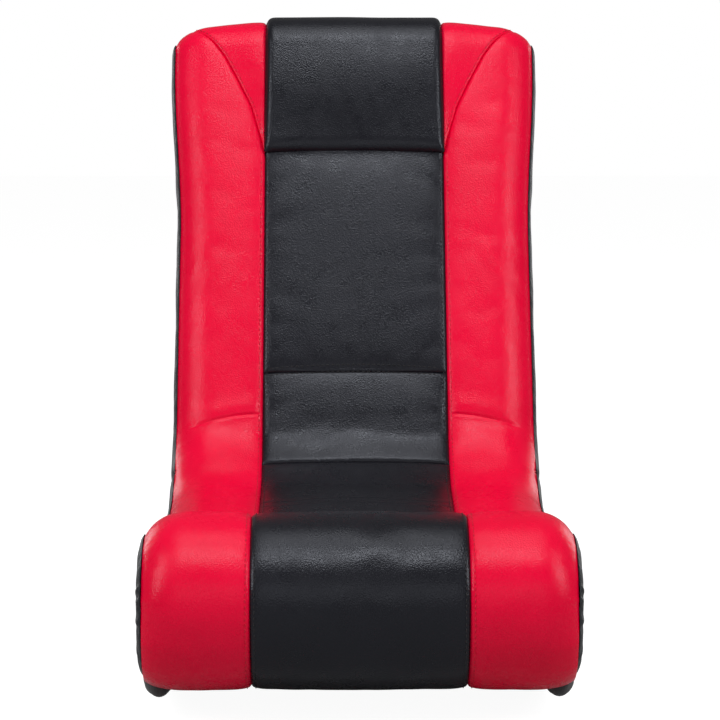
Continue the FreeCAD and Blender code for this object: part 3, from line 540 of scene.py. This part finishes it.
def cover_points(walk, across, sink):
    """Cover surface for each walk and each place across the chair, with its hems turned in."""
    point, normal = OUTLINE.at(walk)
    half = half_width(point)
    grid = np.zeros((len(walk), across.shape[-1], 3))
    for r in range(len(walk)):
        x = across[r]
        here = np.full_like(x, walk[r])
        relief = cover_relief(here, x, half[r]) + cover_wrinkles(here, x, half[r])
        offset = relief - edge_inset(x, half[r], edge_depth(point[r])) - sink[r]
        grid[r, :, 0] = x
        grid[r, :, 1:] = point[r] + offset[:, None] * normal[r]
    return grid


def cover_piece(name, walk, low, high, sign=1, hems=(False, False, True, True)):
    """A cover panel between two seams; hems tell which of start, end, low and high edge is turned in."""
    low = np.broadcast_to(low, walk.shape)[:, None]
    high = np.broadcast_to(high, walk.shape)[:, None]
    hem = np.minimum(HEM_WIDTH, (high - low) / 4)
    count = max(3, int(round(float(np.max(high - low)) / STEP)) + 1)
    share = np.linspace(0, 1, count)[None, :]
    across = np.concatenate((low, low + hem + share * (high - low - 2 * hem), high), axis=1)
    sink = np.zeros(across.shape)
    for turned_in, edge in zip(hems, (np.s_[0], np.s_[-1], np.s_[:, 0], np.s_[:, -1])):
        if turned_in:
            sink[edge] = HEM_DEPTH
    return grid_object(name, cover_points(walk, sign * across, sink), flip=sign < 0)


def edge_place(walk):
    """Place across the chair of the side seam."""
    point = OUTLINE.at(walk)[0]
    return half_width(point) - side_seam(point)


def front_covers():
    """The black panels from the roll's foot to the top, then the red panels and shoulder gussets."""
    pieces = {}
    for name, start, end, low_hem, high_hem in (
            ("seat_panel_cover", FRONT_START, FOLD, False, True),
            ("lumbar_panel_cover", FOLD, LUMBAR_TOP, True, True),
            ("back_panel_cover", LUMBAR_TOP, TOP_MIDDLE, True, False)):
        walk = fine_rows(start, end, low_hem, high_hem)
        pieces[name] = cover_piece(name, walk, -SEAM, SEAM, hems=(low_hem, high_hem, True, True))
    for side, sign in (("left", -1), ("right", 1)):
        name = "side_panel_cover_" + side
        walk = fine_rows(FRONT_START, TOP_MIDDLE)
        outer = edge_place(walk)
        seam = np.minimum(gusset_seam(walk - BACK_ZERO), outer)
        inner = np.where(walk < PILLOW_START, SEAM, seam)
        pieces[name] = cover_piece(name, walk, inner, outer, sign, hems=(False, False, True, False))
        name = "shoulder_cover_" + side
        walk = spread(PILLOW_START, TOP_MIDDLE)
        seam = np.minimum(gusset_seam(walk - BACK_ZERO), edge_place(walk))
        pieces[name] = cover_piece(name, walk, SEAM, seam, sign)
    return pieces


def plain_cover(name, walk, crown):
    """Rear or underside cloth, from side seam to side seam."""
    point, normal = OUTLINE.at(walk)
    outer = edge_place(walk)
    half = half_width(point)
    share = np.linspace(-1, 1, int(round(2 * HALF_WIDTH / PLAIN_STEP)) + 1)
    ends = np.sin(math.pi * np.clip((walk - walk[0]) / (walk[-1] - walk[0]), 0, 1)) ** 0.5
    grid = np.zeros((len(walk), len(share), 3))
    for r in range(len(walk)):
        x = share * outer[r]
        bulge = crown * (1 - share ** 2) * ends[r]
        bulge -= 0.0022 * bump(np.abs(x), outer[r], 0.0035)
        bulge += 0.0006 * wave_noise(8, walk[r], x, 0.15) + 0.0003 * wave_noise(9, walk[r], x, 0.05)
        offset = bulge - edge_inset(x, half[r], edge_depth(point[r]))
        grid[r, :, 0] = x
        grid[r, :, 1:] = point[r] + offset[:, None] * normal[r]
    return grid_object(name, grid)


def fold_walk(sign):
    """Walk to where the fold's slit meets the rear, for the seat (-1) or the back (+1)."""
    walk = np.linspace(MARK["top_end"], MARK["bend"], 2000)
    along = (OUTLINE.at(walk)[0] - PIVOT) @ FOLD_ALONG
    return float(walk[np.argmin(np.abs(along - sign * FOLD_GAP))])


def fold_edge(sign, x, half):
    """The slit's edge in the side view: down the lip to the axis and on to the rear."""
    tuck, least = 0.0055, 0.001
    top, top_out = OUTLINE.at(FOLD + sign * LIP)
    low, low_out = OUTLINE.at(fold_walk(sign))
    top = top - edge_inset(x, half, edge_depth(top)) * top_out - tuck * FOLD_UP
    low = low - edge_inset(x, half, edge_depth(low)) * low_out
    middle = fold_point(sign * FOLD_GAP, 0.0)
    if (top - middle) @ FOLD_UP < least:
        top = middle + least * FOLD_UP
    return top, middle, low


def end_cloth(name, sign):
    """Cloth over the end of seat or back inside the fold."""
    rows, columns = 30, 53
    point = OUTLINE.at(FOLD + sign * LIP)[0]
    half = float(half_width(point))
    grid = np.zeros((rows, columns, 3))
    for c, share in enumerate(np.linspace(-1, 1, columns)):
        x = share * (half - float(side_seam(point)))
        edge = np.stack(fold_edge(sign, x, half))
        line = resample(edge, rows)
        sag = np.sin(math.pi * np.linspace(0, 1, rows)) * (1 - share ** 2)
        grid[:, c, 0] = x
        grid[:, c, 1:] = line + sign * 0.0010 * sag[:, None] * FOLD_ALONG
    return grid_object(name, grid, flip=sign > 0)


def side_chains(body):
    """Upper and lower seam of a side panel in the side view, from its far end to the fold."""
    if body == "seat":
        nose = MARK["roll"] + ROLL_RADIUS * math.radians(ROLL_START - 180)
        upper_walk = np.linspace(nose, FOLD - LIP, 400)
        lower_walk = np.linspace(nose, fold_walk(-1) - OUTLINE.length, 400)
        tip = fold_point(-FOLD_GAP, 0.0)
    else:
        upper_walk = np.linspace(TOP_MIDDLE, FOLD + LIP, 400)
        lower_walk = np.linspace(TOP_MIDDLE, fold_walk(1), 400)
        tip = fold_point(FOLD_GAP, 0.0)
    chains = []
    for walk in (upper_walk, lower_walk):
        point, normal = OUTLINE.at(walk)
        inset = edge_inset(edge_place(walk), half_width(point), edge_depth(point))
        chains.append(point - inset[:, None] * normal)
    return np.concatenate((chains[0], [tip])), chains[1]


def rim_distance(points, upper, lower):
    """How far each point lies inside the panel's seam, and how far round the seam its nearest place is."""
    close = np.linspace(upper[-1], lower[-1], 40)
    rim = resample(np.concatenate((upper, close, lower[::-1])), 1600)
    distance = np.linalg.norm(points[:, None, :] - rim[None, :, :], axis=2)
    nearest = np.argmin(distance, axis=1)
    return distance[np.arange(len(points)), nearest], distances(rim)[nearest]


def side_rise(body, points, off, walked):
    """How far the side cloth stands out: rounded from its seam, full inside, puckered round the roll."""
    turn_width, fullness = 0.019, 0.0030
    rise = side_seam(points) * rounded(off / turn_width) + fullness * smooth(0.01, 0.07, off)
    roll = bump(points[:, 0], -0.33, 0.09) if body == "seat" else 0.0
    pucker = wave_noise(21, walked, off * 0.05, 0.014) * np.exp(-off / 0.012)
    rise += (0.0004 + 0.0013 * roll) * pucker * smooth(0.0, 0.004, off)
    rise += 0.0006 * wave_noise(22, points[:, 0], points[:, 1], 0.09) * smooth(0.0, 0.03, off)
    over_tube = 0.0024 * bump(np.linalg.norm(points - TUBE_END, axis=-1), 0.0, 0.045)
    return rise + over_tube


def side_panel(name, body, sign):
    """Side cloth of seat or back."""
    upper, lower = side_chains(body)
    columns, rows = (150, 34) if body == "seat" else (140, 26)
    upper, lower = resample(upper, columns), resample(lower, columns)
    share = np.linspace(0, 1, rows)
    flat = upper[:, None, :] + share[None, :, None] * (lower - upper)[:, None, :]
    points = flat.reshape(-1, 2)
    rise = side_rise(body, points, *rim_distance(points, upper, lower))
    place = np.zeros((len(points), 3))
    place[:, 0] = sign * (half_width(points) - side_seam(points) + rise)
    place[:, 1:] = points
    flip = sign > 0 if body == "seat" else sign < 0
    return grid_object(name, place.reshape(columns, rows, 3), flip)


# headrest

def pillow_height(walk, along, across):
    """Height of the bag over the back for one row, closed round at its ends and sides."""
    foot_turn, top_turn, side_turn = 0.085, 0.10, 0.10
    hem_height, side_share = 0.0014, 0.25
    ends = rounded(along / foot_turn) * rounded((1 - along) / top_turn)
    sides = side_share + (1 - side_share) * rounded((1 - np.abs(across)) / side_turn)
    lengthwise = math.sin(math.pi * min(along * 1.1, 1.0)) ** 0.5
    crown = 0.0040 * (1 - across ** 2) ** 0.7 * lengthwise
    slack = 0.0003 * wave_noise(31, walk, across * SEAM, 0.09)
    full = pillow_rise(walk - BACK_ZERO) + crown + slack
    return hem_height + full * ends * sides


def rim_loop(rows, columns):
    """Numbers of a grid's outer points, once round."""
    loop = list(range(columns))
    loop += [r * columns + columns - 1 for r in range(1, rows)]
    loop += [(rows - 1) * columns + c for c in range(columns - 2, -1, -1)]
    loop += [r * columns for r in range(rows - 2, 0, -1)]
    return loop


def closed_bag(name, face, back):
    """A bag of two grids of the same size, joined round their rim."""
    rows, columns = face.shape[:2]
    size = rows * columns
    faces = grid_faces(rows, columns)
    faces += [tuple(size + i for i in reversed(quad)) for quad in faces]
    loop = rim_loop(rows, columns)
    for a, b in zip(loop, loop[1:] + loop[:1]):
        faces.append((b, a, size + a, size + b))
    return mesh_object(name, np.concatenate((face.reshape(-1, 3), back.reshape(-1, 3))), faces)


def pillow(name):
    """Headrest bag: thin at its lower seam, full at the top, wrapped over the top of the back."""
    rows, columns = 72, 64
    end = MARK["top"] + TOP_RADIUS * math.radians(88)
    along = np.linspace(0, 1, rows)
    across = np.linspace(-1, 1, columns)
    walk = PILLOW_START + along * (end - PILLOW_START)
    point, normal = OUTLINE.at(walk)
    face = np.zeros((rows, columns, 3))
    face[:, :, 0] = across * (SEAM + 0.0012)
    back = face.copy()
    for r in range(rows):
        height = pillow_height(walk[r], along[r], across)
        face[r, :, 1:] = point[r] + height[:, None] * normal[r]
        back[r, :, 1:] = point[r] + 0.0006 * normal[r]
    return closed_bag(name, face, back)


# runners: in the side view a wide arc on the floor, turned up at both tips

RUNNER_CENTRE = np.array((UNDER_MIDDLE, 2.3995))
RUNNER_RADIUS = 2.400 - 0.0135
RUNNER_PLACE = 0.1975
RUNNER_LENGTH = 0.52
SLEEVE_RADIUS = 0.01345
FRONT_TURN = 0.045
REAR_TURN = 0.060


def on_runner(y):
    """Point of the runner's arc at y, and its direction from the arc's centre in degrees."""
    away = y - RUNNER_CENTRE[0]
    down = -math.sqrt(RUNNER_RADIUS ** 2 - away ** 2)
    return RUNNER_CENTRE + np.array((away, down)), math.degrees(math.atan2(down, away))


def runner_line():
    """The runner tube's axis from its front tip to its rear tip."""
    front, front_angle = on_runner(-0.28465)
    rear, rear_angle = on_runner(0.07035)
    front_centre = front - unit(front_angle) * FRONT_TURN
    rear_centre = rear - unit(rear_angle) * REAR_TURN
    tip = front_centre + FRONT_TURN * unit(np.linspace(180, front_angle % 360, 14))
    floor = RUNNER_CENTRE + RUNNER_RADIUS * unit(np.linspace(front_angle, rear_angle, 60)[1:-1])
    tail = rear_centre + REAR_TURN * unit(np.linspace(rear_angle, 10, 20))
    return resample(np.concatenate((tip, floor, tail)), 190)


def sleeve(name, sign):
    """Padded cloth sleeve round the runner, with its lengthwise seam and small gathers."""
    line = runner_line()
    heading = np.gradient(line, axis=0)
    heading /= np.linalg.norm(heading, axis=1, keepdims=True)
    normal = np.stack((-heading[:, 1], heading[:, 0]), -1)
    around = np.linspace(0, 2 * math.pi, 33)[:-1]
    walked = np.linspace(0, 1, len(line)) * RUNNER_LENGTH
    seam = 0.0007 * bump(around, math.pi / 2 + 0.9, 0.10)
    grid = np.zeros((len(line), len(around), 3))
    for r in range(len(line)):
        gather = 0.00035 * wave_noise(41, walked[r], around * 0.006, 0.012)
        gather += 0.0002 * wave_noise(42, walked[r], around * 0.02, 0.04)
        radius = SLEEVE_RADIUS + gather - seam
        grid[r, :, 0] = sign * RUNNER_PLACE + radius * np.cos(around)
        grid[r, :, 1:] = line[r] + (radius * np.sin(around))[:, None] * normal[r]
    grid[:, :, 2] = np.maximum(grid[:, :, 2], 0.0)
    piece = grid_object(name, np.concatenate((grid, grid[:, :1]), axis=1))
    weld(piece)
    return piece


# stitches: length, gap and radius of a thread, and how far a row lies beside its seam

STITCH_LENGTH = 0.0040
STITCH_GAP = 0.0018
STITCH_RADIUS = 0.00030
STITCH_LIFT = 0.0001
STITCH_OFF = 0.0042
# share of the length, share of the radius, and height in radii, for each ring of a stitch
STITCH_RINGS = ((0.0, 0.25, -0.5), (0.15, 0.9, 0.35), (0.5, 1.0, 0.8), (0.85, 0.9, 0.35), (1.0, 0.25, -0.5))
STITCH_SIDES = 6


def one_stitch(vertices, faces, place, out):
    """Adds one stitch: a flat, closed thread that dips into the cover at both ends."""
    first = len(vertices)
    ahead = place[-1] - place[0]
    ahead /= np.linalg.norm(ahead)
    for (_, fat, high), centre, up in zip(STITCH_RINGS, place, out):
        up = up / np.linalg.norm(up)
        across = np.cross(ahead, up)
        for k in range(STITCH_SIDES):
            angle = k * 2 * math.pi / STITCH_SIDES
            rim = STITCH_RADIUS * fat * (math.cos(angle) * across * 1.25 + math.sin(angle) * up)
            vertices.append(centre + up * (STITCH_LIFT + STITCH_RADIUS * high) + rim)
    for ring in range(len(STITCH_RINGS) - 1):
        start = first + ring * STITCH_SIDES
        for k in range(STITCH_SIDES):
            a, b = start + k, start + (k + 1) % STITCH_SIDES
            faces.append((a, b, b + STITCH_SIDES, a + STITCH_SIDES))
    last = len(vertices) - STITCH_SIDES
    faces.append(tuple(first + k for k in reversed(range(STITCH_SIDES))))
    faces.append(tuple(last + k for k in range(STITCH_SIDES)))


def stitch_row(vertices, faces, line, normals):
    """Adds one row of thread stitches along a line of points on a surface."""
    walked = distances(line)
    pitch = STITCH_LENGTH + STITCH_GAP
    shares = np.array([share for share, _, _ in STITCH_RINGS])
    for number in range(int(walked[-1] / pitch)):
        walk = number * pitch + shares * STITCH_LENGTH
        place = np.stack([np.interp(walk, walked, line[:, k]) for k in range(3)], -1)
        out = np.stack([np.interp(walk, walked, normals[:, k]) for k in range(3)], -1)
        one_stitch(vertices, faces, place, out)


def stitch_piece(name, rows):
    vertices, faces = [], []
    for line, normals in rows:
        stitch_row(vertices, faces, line, normals)
    return mesh_object(name, vertices, faces)


def surface_line(walk, x):
    """Points and outward directions on the front cover."""
    walk, x = np.broadcast_arrays(walk, x)
    point, normal = OUTLINE.at(walk)
    half = half_width(point)
    relief = cover_relief(walk, x, half) + cover_wrinkles(walk, x, half)
    relief = relief - edge_inset(x, half, edge_depth(point))
    place = np.zeros((len(walk), 3))
    place[:, 0] = x
    place[:, 1:] = point + relief[:, None] * normal
    over = np.clip((np.abs(x) - (half - EDGE_WIDTH)) / EDGE_WIDTH, 0, 0.98) * 0.9
    out = np.zeros((len(walk), 3))
    out[:, 0] = np.sign(x) * over
    out[:, 1:] = normal * np.sqrt(1 - over ** 2)[:, None]
    return place, out


# materials

def material(name):
    made = bpy.data.materials.new(name)
    made.use_nodes = True
    nodes = made.node_tree.nodes
    return made, nodes, made.node_tree.links, nodes["Principled BSDF"]


def node(nodes, kind, **values):
    """A new node with its properties and sockets set by name."""
    made = nodes.new(kind)
    for key, value in values.items():
        if hasattr(made, key):
            setattr(made, key, value)
        else:
            made.inputs[key.replace("_", " ")].default_value = value
    return made


def mixed(nodes, links, factor, first, second):
    """Colour between two colours by a factor socket."""
    mix = nodes.new("ShaderNodeMix")
    mix.data_type = "RGBA"
    links.new(factor, mix.inputs["Factor"])
    mix.inputs["A"].default_value = (*first, 1)
    mix.inputs["B"].default_value = (*second, 1)
    return mix.outputs["Result"]


def ranged(nodes, links, value, low, high, to_low, to_high):
    """A socket's values carried from one range to another."""
    made = nodes.new("ShaderNodeMapRange")
    links.new(value, made.inputs["Value"])
    for key, number in (("From Min", low), ("From Max", high), ("To Min", to_low), ("To Max", to_high)):
        made.inputs[key].default_value = number
    return made.outputs["Result"]


def bumped(nodes, links, height, strength, distance, below=None):
    """Surface direction with the relief of a height socket, over the relief below it."""
    made = nodes.new("ShaderNodeBump")
    made.inputs["Strength"].default_value = strength
    made.inputs["Distance"].default_value = distance
    links.new(height, made.inputs["Height"])
    if below:
        links.new(below, made.inputs["Normal"])
    return made.outputs[0]


def shifted(nodes, links):
    """Object coordinates moved off the middle of the chair."""
    place = nodes.new("ShaderNodeTexCoord").outputs["Object"]
    moved = nodes.new("ShaderNodeVectorMath")
    moved.inputs[1].default_value = (3.17, 2.31, 1.73)
    links.new(place, moved.inputs[0])
    return moved.outputs[0]


def leather(name, colour, deep, rough, gloss):
    """Coated leather-like cover: pebbled grain, a slow change of tone, gloss that varies with its creases."""
    grain = 0.0003
    made, nodes, links, shader = material(name)
    place = shifted(nodes, links)
    cells = node(nodes, "ShaderNodeTexVoronoi", feature="SMOOTH_F1", Scale=700.0, Smoothness=0.6)
    pores = node(nodes, "ShaderNodeTexNoise", Scale=1400.0, Detail=3.0, Roughness=0.6)
    creases = node(nodes, "ShaderNodeTexNoise", Scale=38.0, Detail=6.0, Roughness=0.62)
    tone = node(nodes, "ShaderNodeTexNoise", Scale=9.0, Detail=3.0, Roughness=0.5)
    for texture in (cells, pores, creases, tone):
        links.new(place, texture.inputs["Vector"])
    factor = ranged(nodes, links, tone.outputs[0], 0.3, 0.7, 0, 1)
    links.new(mixed(nodes, links, factor, deep, colour), shader.inputs["Base Color"])
    matt = ranged(nodes, links, creases.outputs[0], 0.3, 0.7, rough - 0.05, rough + 0.08)
    links.new(matt, shader.inputs["Roughness"])
    shader.inputs["Specular IOR Level"].default_value = gloss
    shader.inputs["Specular Tint"].default_value = (0.86, 0.90, 1.0, 1)
    slow = bumped(nodes, links, creases.outputs[0], 0.25, 0.0004)
    fine = bumped(nodes, links, cells.outputs[0], 0.65, grain, slow)
    last = bumped(nodes, links, pores.outputs[0], 0.25, grain / 2, fine)
    links.new(last, shader.inputs["Normal"])
    return made


def cloth(name, colour, light, rough, scale=900.0, sheen=0.15):
    """Woven cloth: two crossing sets of threads, and dust-like change of tone."""
    made, nodes, links, shader = material(name)
    place = nodes.new("ShaderNodeTexCoord").outputs["Object"]
    wave = {"Scale": scale / 6.0, "Distortion": 0.6, "Detail": 1.0}
    warp = node(nodes, "ShaderNodeTexWave", bands_direction="DIAGONAL", **wave)
    weft = node(nodes, "ShaderNodeTexWave", bands_direction="X", **wave)
    tone = node(nodes, "ShaderNodeTexNoise", Scale=14.0, Detail=5.0)
    for texture in (warp, weft, tone):
        links.new(place, texture.inputs["Vector"])
    weave = nodes.new("ShaderNodeMath")
    weave.operation = "MAXIMUM"
    links.new(warp.outputs[1], weave.inputs[0])
    links.new(weft.outputs[1], weave.inputs[1])
    factor = ranged(nodes, links, tone.outputs[0], 0.25, 0.75, 0, 1)
    links.new(mixed(nodes, links, factor, colour, light), shader.inputs["Base Color"])
    shader.inputs["Roughness"].default_value = rough
    shader.inputs["Sheen Weight"].default_value = sheen
    links.new(bumped(nodes, links, weave.outputs[0], 0.5, 0.0003), shader.inputs["Normal"])
    return made


def metal(name, colour, rough, metallic, scale=60.0):
    """Metal, paint or plastic with faint marks of handling in its tone and gloss."""
    made, nodes, links, shader = material(name)
    place = nodes.new("ShaderNodeTexCoord").outputs["Object"]
    tone = node(nodes, "ShaderNodeTexNoise", Scale=scale, Detail=6.0)
    links.new(place, tone.inputs["Vector"])
    light = tuple(min(1.0, c * 1.35 + 0.01) for c in colour)
    links.new(mixed(nodes, links, tone.outputs[0], colour, light), shader.inputs["Base Color"])
    matt = ranged(nodes, links, tone.outputs[0], 0.3, 0.7, rough - 0.08, rough + 0.08)
    links.new(matt, shader.inputs["Roughness"])
    shader.inputs["Metallic"].default_value = metallic
    return made


RED = leather("red_leather", (0.75, 0.0005, 0.035), (0.69, 0.0004, 0.029), 0.26, 0.17)
BLACK = leather("black_leather", (0.0080, 0.0080, 0.0111), (0.0060, 0.0060, 0.0084), 0.28, 0.27)
SIDE_CLOTH = leather("black_side_cloth", (0.013, 0.013, 0.014), (0.009, 0.009, 0.010), 0.46, 0.40)
CLOTH = cloth("black_cloth", (0.014, 0.014, 0.015), (0.030, 0.030, 0.032), 0.80)
SLEEVE = cloth("sleeve_cloth", (0.012, 0.012, 0.013), (0.022, 0.022, 0.023), 0.75, 700.0)
FOAM = cloth("foam", (0.62, 0.56, 0.40), (0.74, 0.68, 0.52), 0.95, 500.0)
WEBBING = cloth("webbing", (0.03, 0.03, 0.03), (0.06, 0.06, 0.06), 0.8, 1200.0)
STEEL = metal("frame_steel", (0.02, 0.02, 0.02), 0.42, 0.0)
ZINC = metal("zinc_steel", (0.55, 0.56, 0.58), 0.32, 1.0)
PLASTIC = metal("black_plastic", (0.015, 0.015, 0.016), 0.5, 0.0, 200.0)
RED_THREAD = cloth("red_thread", (0.50, 0.001, 0.020), (0.60, 0.002, 0.026), 0.7, 3000.0, 0.0)
BLACK_THREAD = cloth("black_thread", (0.010, 0.010, 0.011), (0.018, 0.018, 0.019), 0.7, 3000.0, 0.0)

NODE_FINISH = {
    "foam": FOAM, "webbing": WEBBING, "frame_steel": STEEL, "zinc_steel": ZINC, "black_plastic": PLASTIC,
    "red_leather": RED, "black_leather": BLACK, "black_side_cloth": SIDE_CLOTH, "black_cloth": CLOTH,
    "sleeve_cloth": SLEEVE,
}


# dressing

def paint(piece, finish):
    piece.data.materials.clear()
    piece.data.materials.append(finish)


def paint_nodes():
    """The finishes of the solids, by the slot each one names."""
    slots = {entry["node"]: entry["material_slot"] for entry in frame["record"]["subparts"]}
    for name, piece in frame["nodes"].items():
        for index in range(len(piece.material_slots)):
            piece.material_slots[index].material = NODE_FINISH[slots[name]]


def bend_at_fold(piece):
    """Bakes a cover's placement into its points; the cover rides on neither the seat nor the backrest."""
    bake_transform(piece)


def dress_black_panels(covers):
    for name in ("seat_panel_cover", "lumbar_panel_cover", "back_panel_cover"):
        paint(covers[name], BLACK)
    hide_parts("seat_panel", "roll_foam", "seat_foam_pad", "seat_foam_base")
    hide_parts("lumbar_panel")
    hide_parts("back_panel", "back_foam_front", "back_foam_rear")
    bend_at_fold(covers["seat_panel_cover"])
    bend_at_fold(covers["lumbar_panel_cover"])
    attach(covers["back_panel_cover"], "backrest")


def dress_red_panels(covers, side):
    red = covers["side_panel_cover_" + side]
    paint(red, RED)
    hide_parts("seat_cover_" + side, "back_cover_" + side)
    bend_at_fold(red)
    gusset = covers["shoulder_cover_" + side]
    paint(gusset, RED)
    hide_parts("shoulder_gusset_" + side)
    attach(gusset, "backrest")


def dress_side(side, sign):
    """Side cloths of seat and back, and the sleeve of the runner."""
    for body, rides in (("seat", "seat"), ("back", "backrest")):
        panel = side_panel("%s_side_cloth_%s" % (body, side), body, sign)
        subdivide(panel)
        paint(panel, SIDE_CLOTH)
        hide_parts("%s_side_%s" % (body, side))
        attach(panel, rides)
    tube = sleeve("runner_sleeve_cover_" + side, sign)
    paint(tube, SLEEVE)
    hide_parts("runner_sleeve_" + side)
    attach(tube, "seat")


def dress_plain(piece, replaced, body):
    """Finishes a plain black cloth of the rear, the underside or the fold."""
    paint(piece, CLOTH)
    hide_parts(replaced)
    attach(piece, body)


def dress_rear():
    rear_walk = spread(TOP_MIDDLE, fold_walk(1), PLAIN_STEP)
    dress_plain(plain_cover("rear_cloth_cover", rear_walk, 0.004), "rear_cloth", "backrest")
    under_walk = spread(fold_walk(-1), OUTLINE.length + FRONT_START, PLAIN_STEP)
    dress_plain(plain_cover("underside_cover", under_walk, 0.0), "underside_cloth", "seat")
    dress_plain(end_cloth("seat_end_cover", -1), "seat_end_cloth", "seat")
    dress_plain(end_cloth("back_end_cover", 1), "back_end_cloth", "backrest")


def dress_headrest():
    bag = pillow("headrest_bag")
    subdivide(bag)
    paint(bag, BLACK)
    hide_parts("headrest_cover", "headrest_foam")
    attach(bag, "backrest")


def build():
    paint_nodes()
    covers = front_covers()
    for piece in covers.values():
        subdivide(piece)
    dress_black_panels(covers)
    for side, sign in (("left", -1), ("right", 1)):
        dress_red_panels(covers, side)
        dress_side(side, sign)
    dress_rear()
    dress_headrest()
    stitch_panels()
    stitch_back()


def stitch_panels():
    """Rows of thread on both sides of the long seams, which run over the fold."""
    walk = np.linspace(FRONT_START, PILLOW_START, 700)
    walk = walk[walk < PILLOW_START - 0.004]
    for name, finish, slot, place in (
            ("red_panel_stitches", RED_THREAD, "red_leather", SEAM + STITCH_OFF),
            ("black_panel_stitches", BLACK_THREAD, "black_leather", SEAM - STITCH_OFF)):
        piece = stitch_piece(name, [surface_line(walk, sign * place) for sign in (-1, 1)])
        paint(piece, finish)
        bend_at_fold(piece)


def stitch_back():
    """Rows of thread at the lumbar seam and inside the slanted shoulder seams."""
    x = np.linspace(-SEAM + 0.008, SEAM - 0.008, 80)
    rows = [surface_line(lumbar_seam(np.abs(x)) + shift, x) for shift in (-STITCH_OFF, STITCH_OFF)]
    piece = stitch_piece("lumbar_stitches", rows)
    paint(piece, BLACK_THREAD)
    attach(piece, "backrest")
    up = np.linspace(HEADREST_START + 0.012, 0.575, 120)
    rows = [surface_line(BACK_ZERO + up, sign * (gusset_seam(up) - 0.004)) for sign in (-1, 1)]
    piece = stitch_piece("shoulder_stitches", rows)
    paint(piece, RED_THREAD)
    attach(piece, "backrest")


# studio

def floor():
    """Plain floor that looks white and keeps the chair's shadow."""
    reach, glow_strength, glow_share = 30.0, 1.31, 0.72
    corners = ((-reach, -reach, 0), (reach, -reach, 0), (reach, reach, 0), (-reach, reach, 0))
    piece = mesh_object("floor", corners, [(0, 1, 2, 3)])
    made, nodes, links, shader = material("floor")
    shader.inputs["Roughness"].default_value = 0.9
    shader.inputs["Specular IOR Level"].default_value = 0.1
    glow = node(nodes, "ShaderNodeEmission", Color=(1, 1, 1, 1), Strength=glow_strength)
    path = nodes.new("ShaderNodeLightPath")
    colour = mixed(nodes, links, path.outputs["Is Camera Ray"], (0.42, 0.42, 0.42), (0.95, 0.95, 0.95))
    links.new(colour, shader.inputs["Base Color"])
    seen = nodes.new("ShaderNodeMath")
    seen.operation = "MULTIPLY"
    seen.inputs[1].default_value = glow_share
    links.new(path.outputs["Is Camera Ray"], seen.inputs[0])
    mix = nodes.new("ShaderNodeMixShader")
    links.new(seen.outputs[0], mix.inputs[0])
    links.new(shader.outputs[0], mix.inputs[1])
    links.new(glow.outputs[0], mix.inputs[2])
    links.new(mix.outputs[0], nodes["Material Output"].inputs["Surface"])
    piece.data.materials.append(made)


def surroundings():
    """White where the camera looks past the chair, and a dim even light on it."""
    world = bpy.data.worlds.new("studio")
    bpy.context.scene.world = world
    world.use_nodes = True
    nodes, links = world.node_tree.nodes, world.node_tree.links
    dim = nodes["Background"]
    dim.inputs["Color"].default_value = (1, 1, 1, 1)
    dim.inputs["Strength"].default_value = 0.17
    white = node(nodes, "ShaderNodeBackground", Color=(1, 1, 1, 1), Strength=1.0)
    path = nodes.new("ShaderNodeLightPath")
    mix = nodes.new("ShaderNodeMixShader")
    links.new(path.outputs["Is Camera Ray"], mix.inputs[0])
    links.new(dim.outputs[0], mix.inputs[1])
    links.new(white.outputs[0], mix.inputs[2])
    links.new(mix.outputs[0], nodes["World Output"].inputs["Surface"])


def softbox(name, place, target, width, height, power):
    lamp = bpy.data.lights.new(name, "AREA")
    lamp.shape = "RECTANGLE"
    lamp.size, lamp.size_y, lamp.energy = width, height, power
    made = bpy.data.objects.new(name, lamp)
    made.location = place
    made.rotation_euler = (Vector(target) - Vector(place)).to_track_quat("-Z", "Y").to_euler()
    bpy.context.scene.collection.objects.link(made)


def lights():
    """Key high in front, a top light, strips at the sides, a weak front light, two rear lights."""
    seat, middle, back = (0.0, 0.0, 0.35), (0.0, 0.1, 0.4), (0.0, 0.3, 0.4)
    softbox("key", (0.0, -3.2, 7.1), seat, 4.0, 1.0, 225.0)
    softbox("top", (0.0, -0.1, 3.7), seat, 2.2, 1.2, 26.0)
    softbox("left_strip", (-2.4, -1.4, 1.8), middle, 0.4, 1.8, 38.0)
    softbox("right_strip", (2.4, -1.4, 1.8), middle, 0.4, 1.8, 38.0)
    softbox("front", (0.0, -3.6, 1.2), seat, 3.0, 1.3, 15.0)
    softbox("rear_left", (-2.2, 2.7, 0.9), back, 0.8, 1.5, 14.0)
    softbox("rear_right", (2.2, 2.7, 0.9), back, 0.8, 1.5, 14.0)


def camera():
    """Straight from the front and a little down, from nearly three metres."""
    lens = bpy.data.cameras.new("camera")
    lens.sensor_width = 36.0
    lens.lens = 132.0
    made = bpy.data.objects.new("camera", lens)
    made.location = (-0.027, -2.855, 0.577)
    made.rotation_euler = (math.radians(85.0), 0.0, math.radians(-0.62))
    bpy.context.scene.collection.objects.link(made)
    bpy.context.scene.camera = made


DRAPES = drapes()
build()
floor()
surroundings()
lights()
camera()
bpy.context.scene.view_settings.view_transform = "Standard"
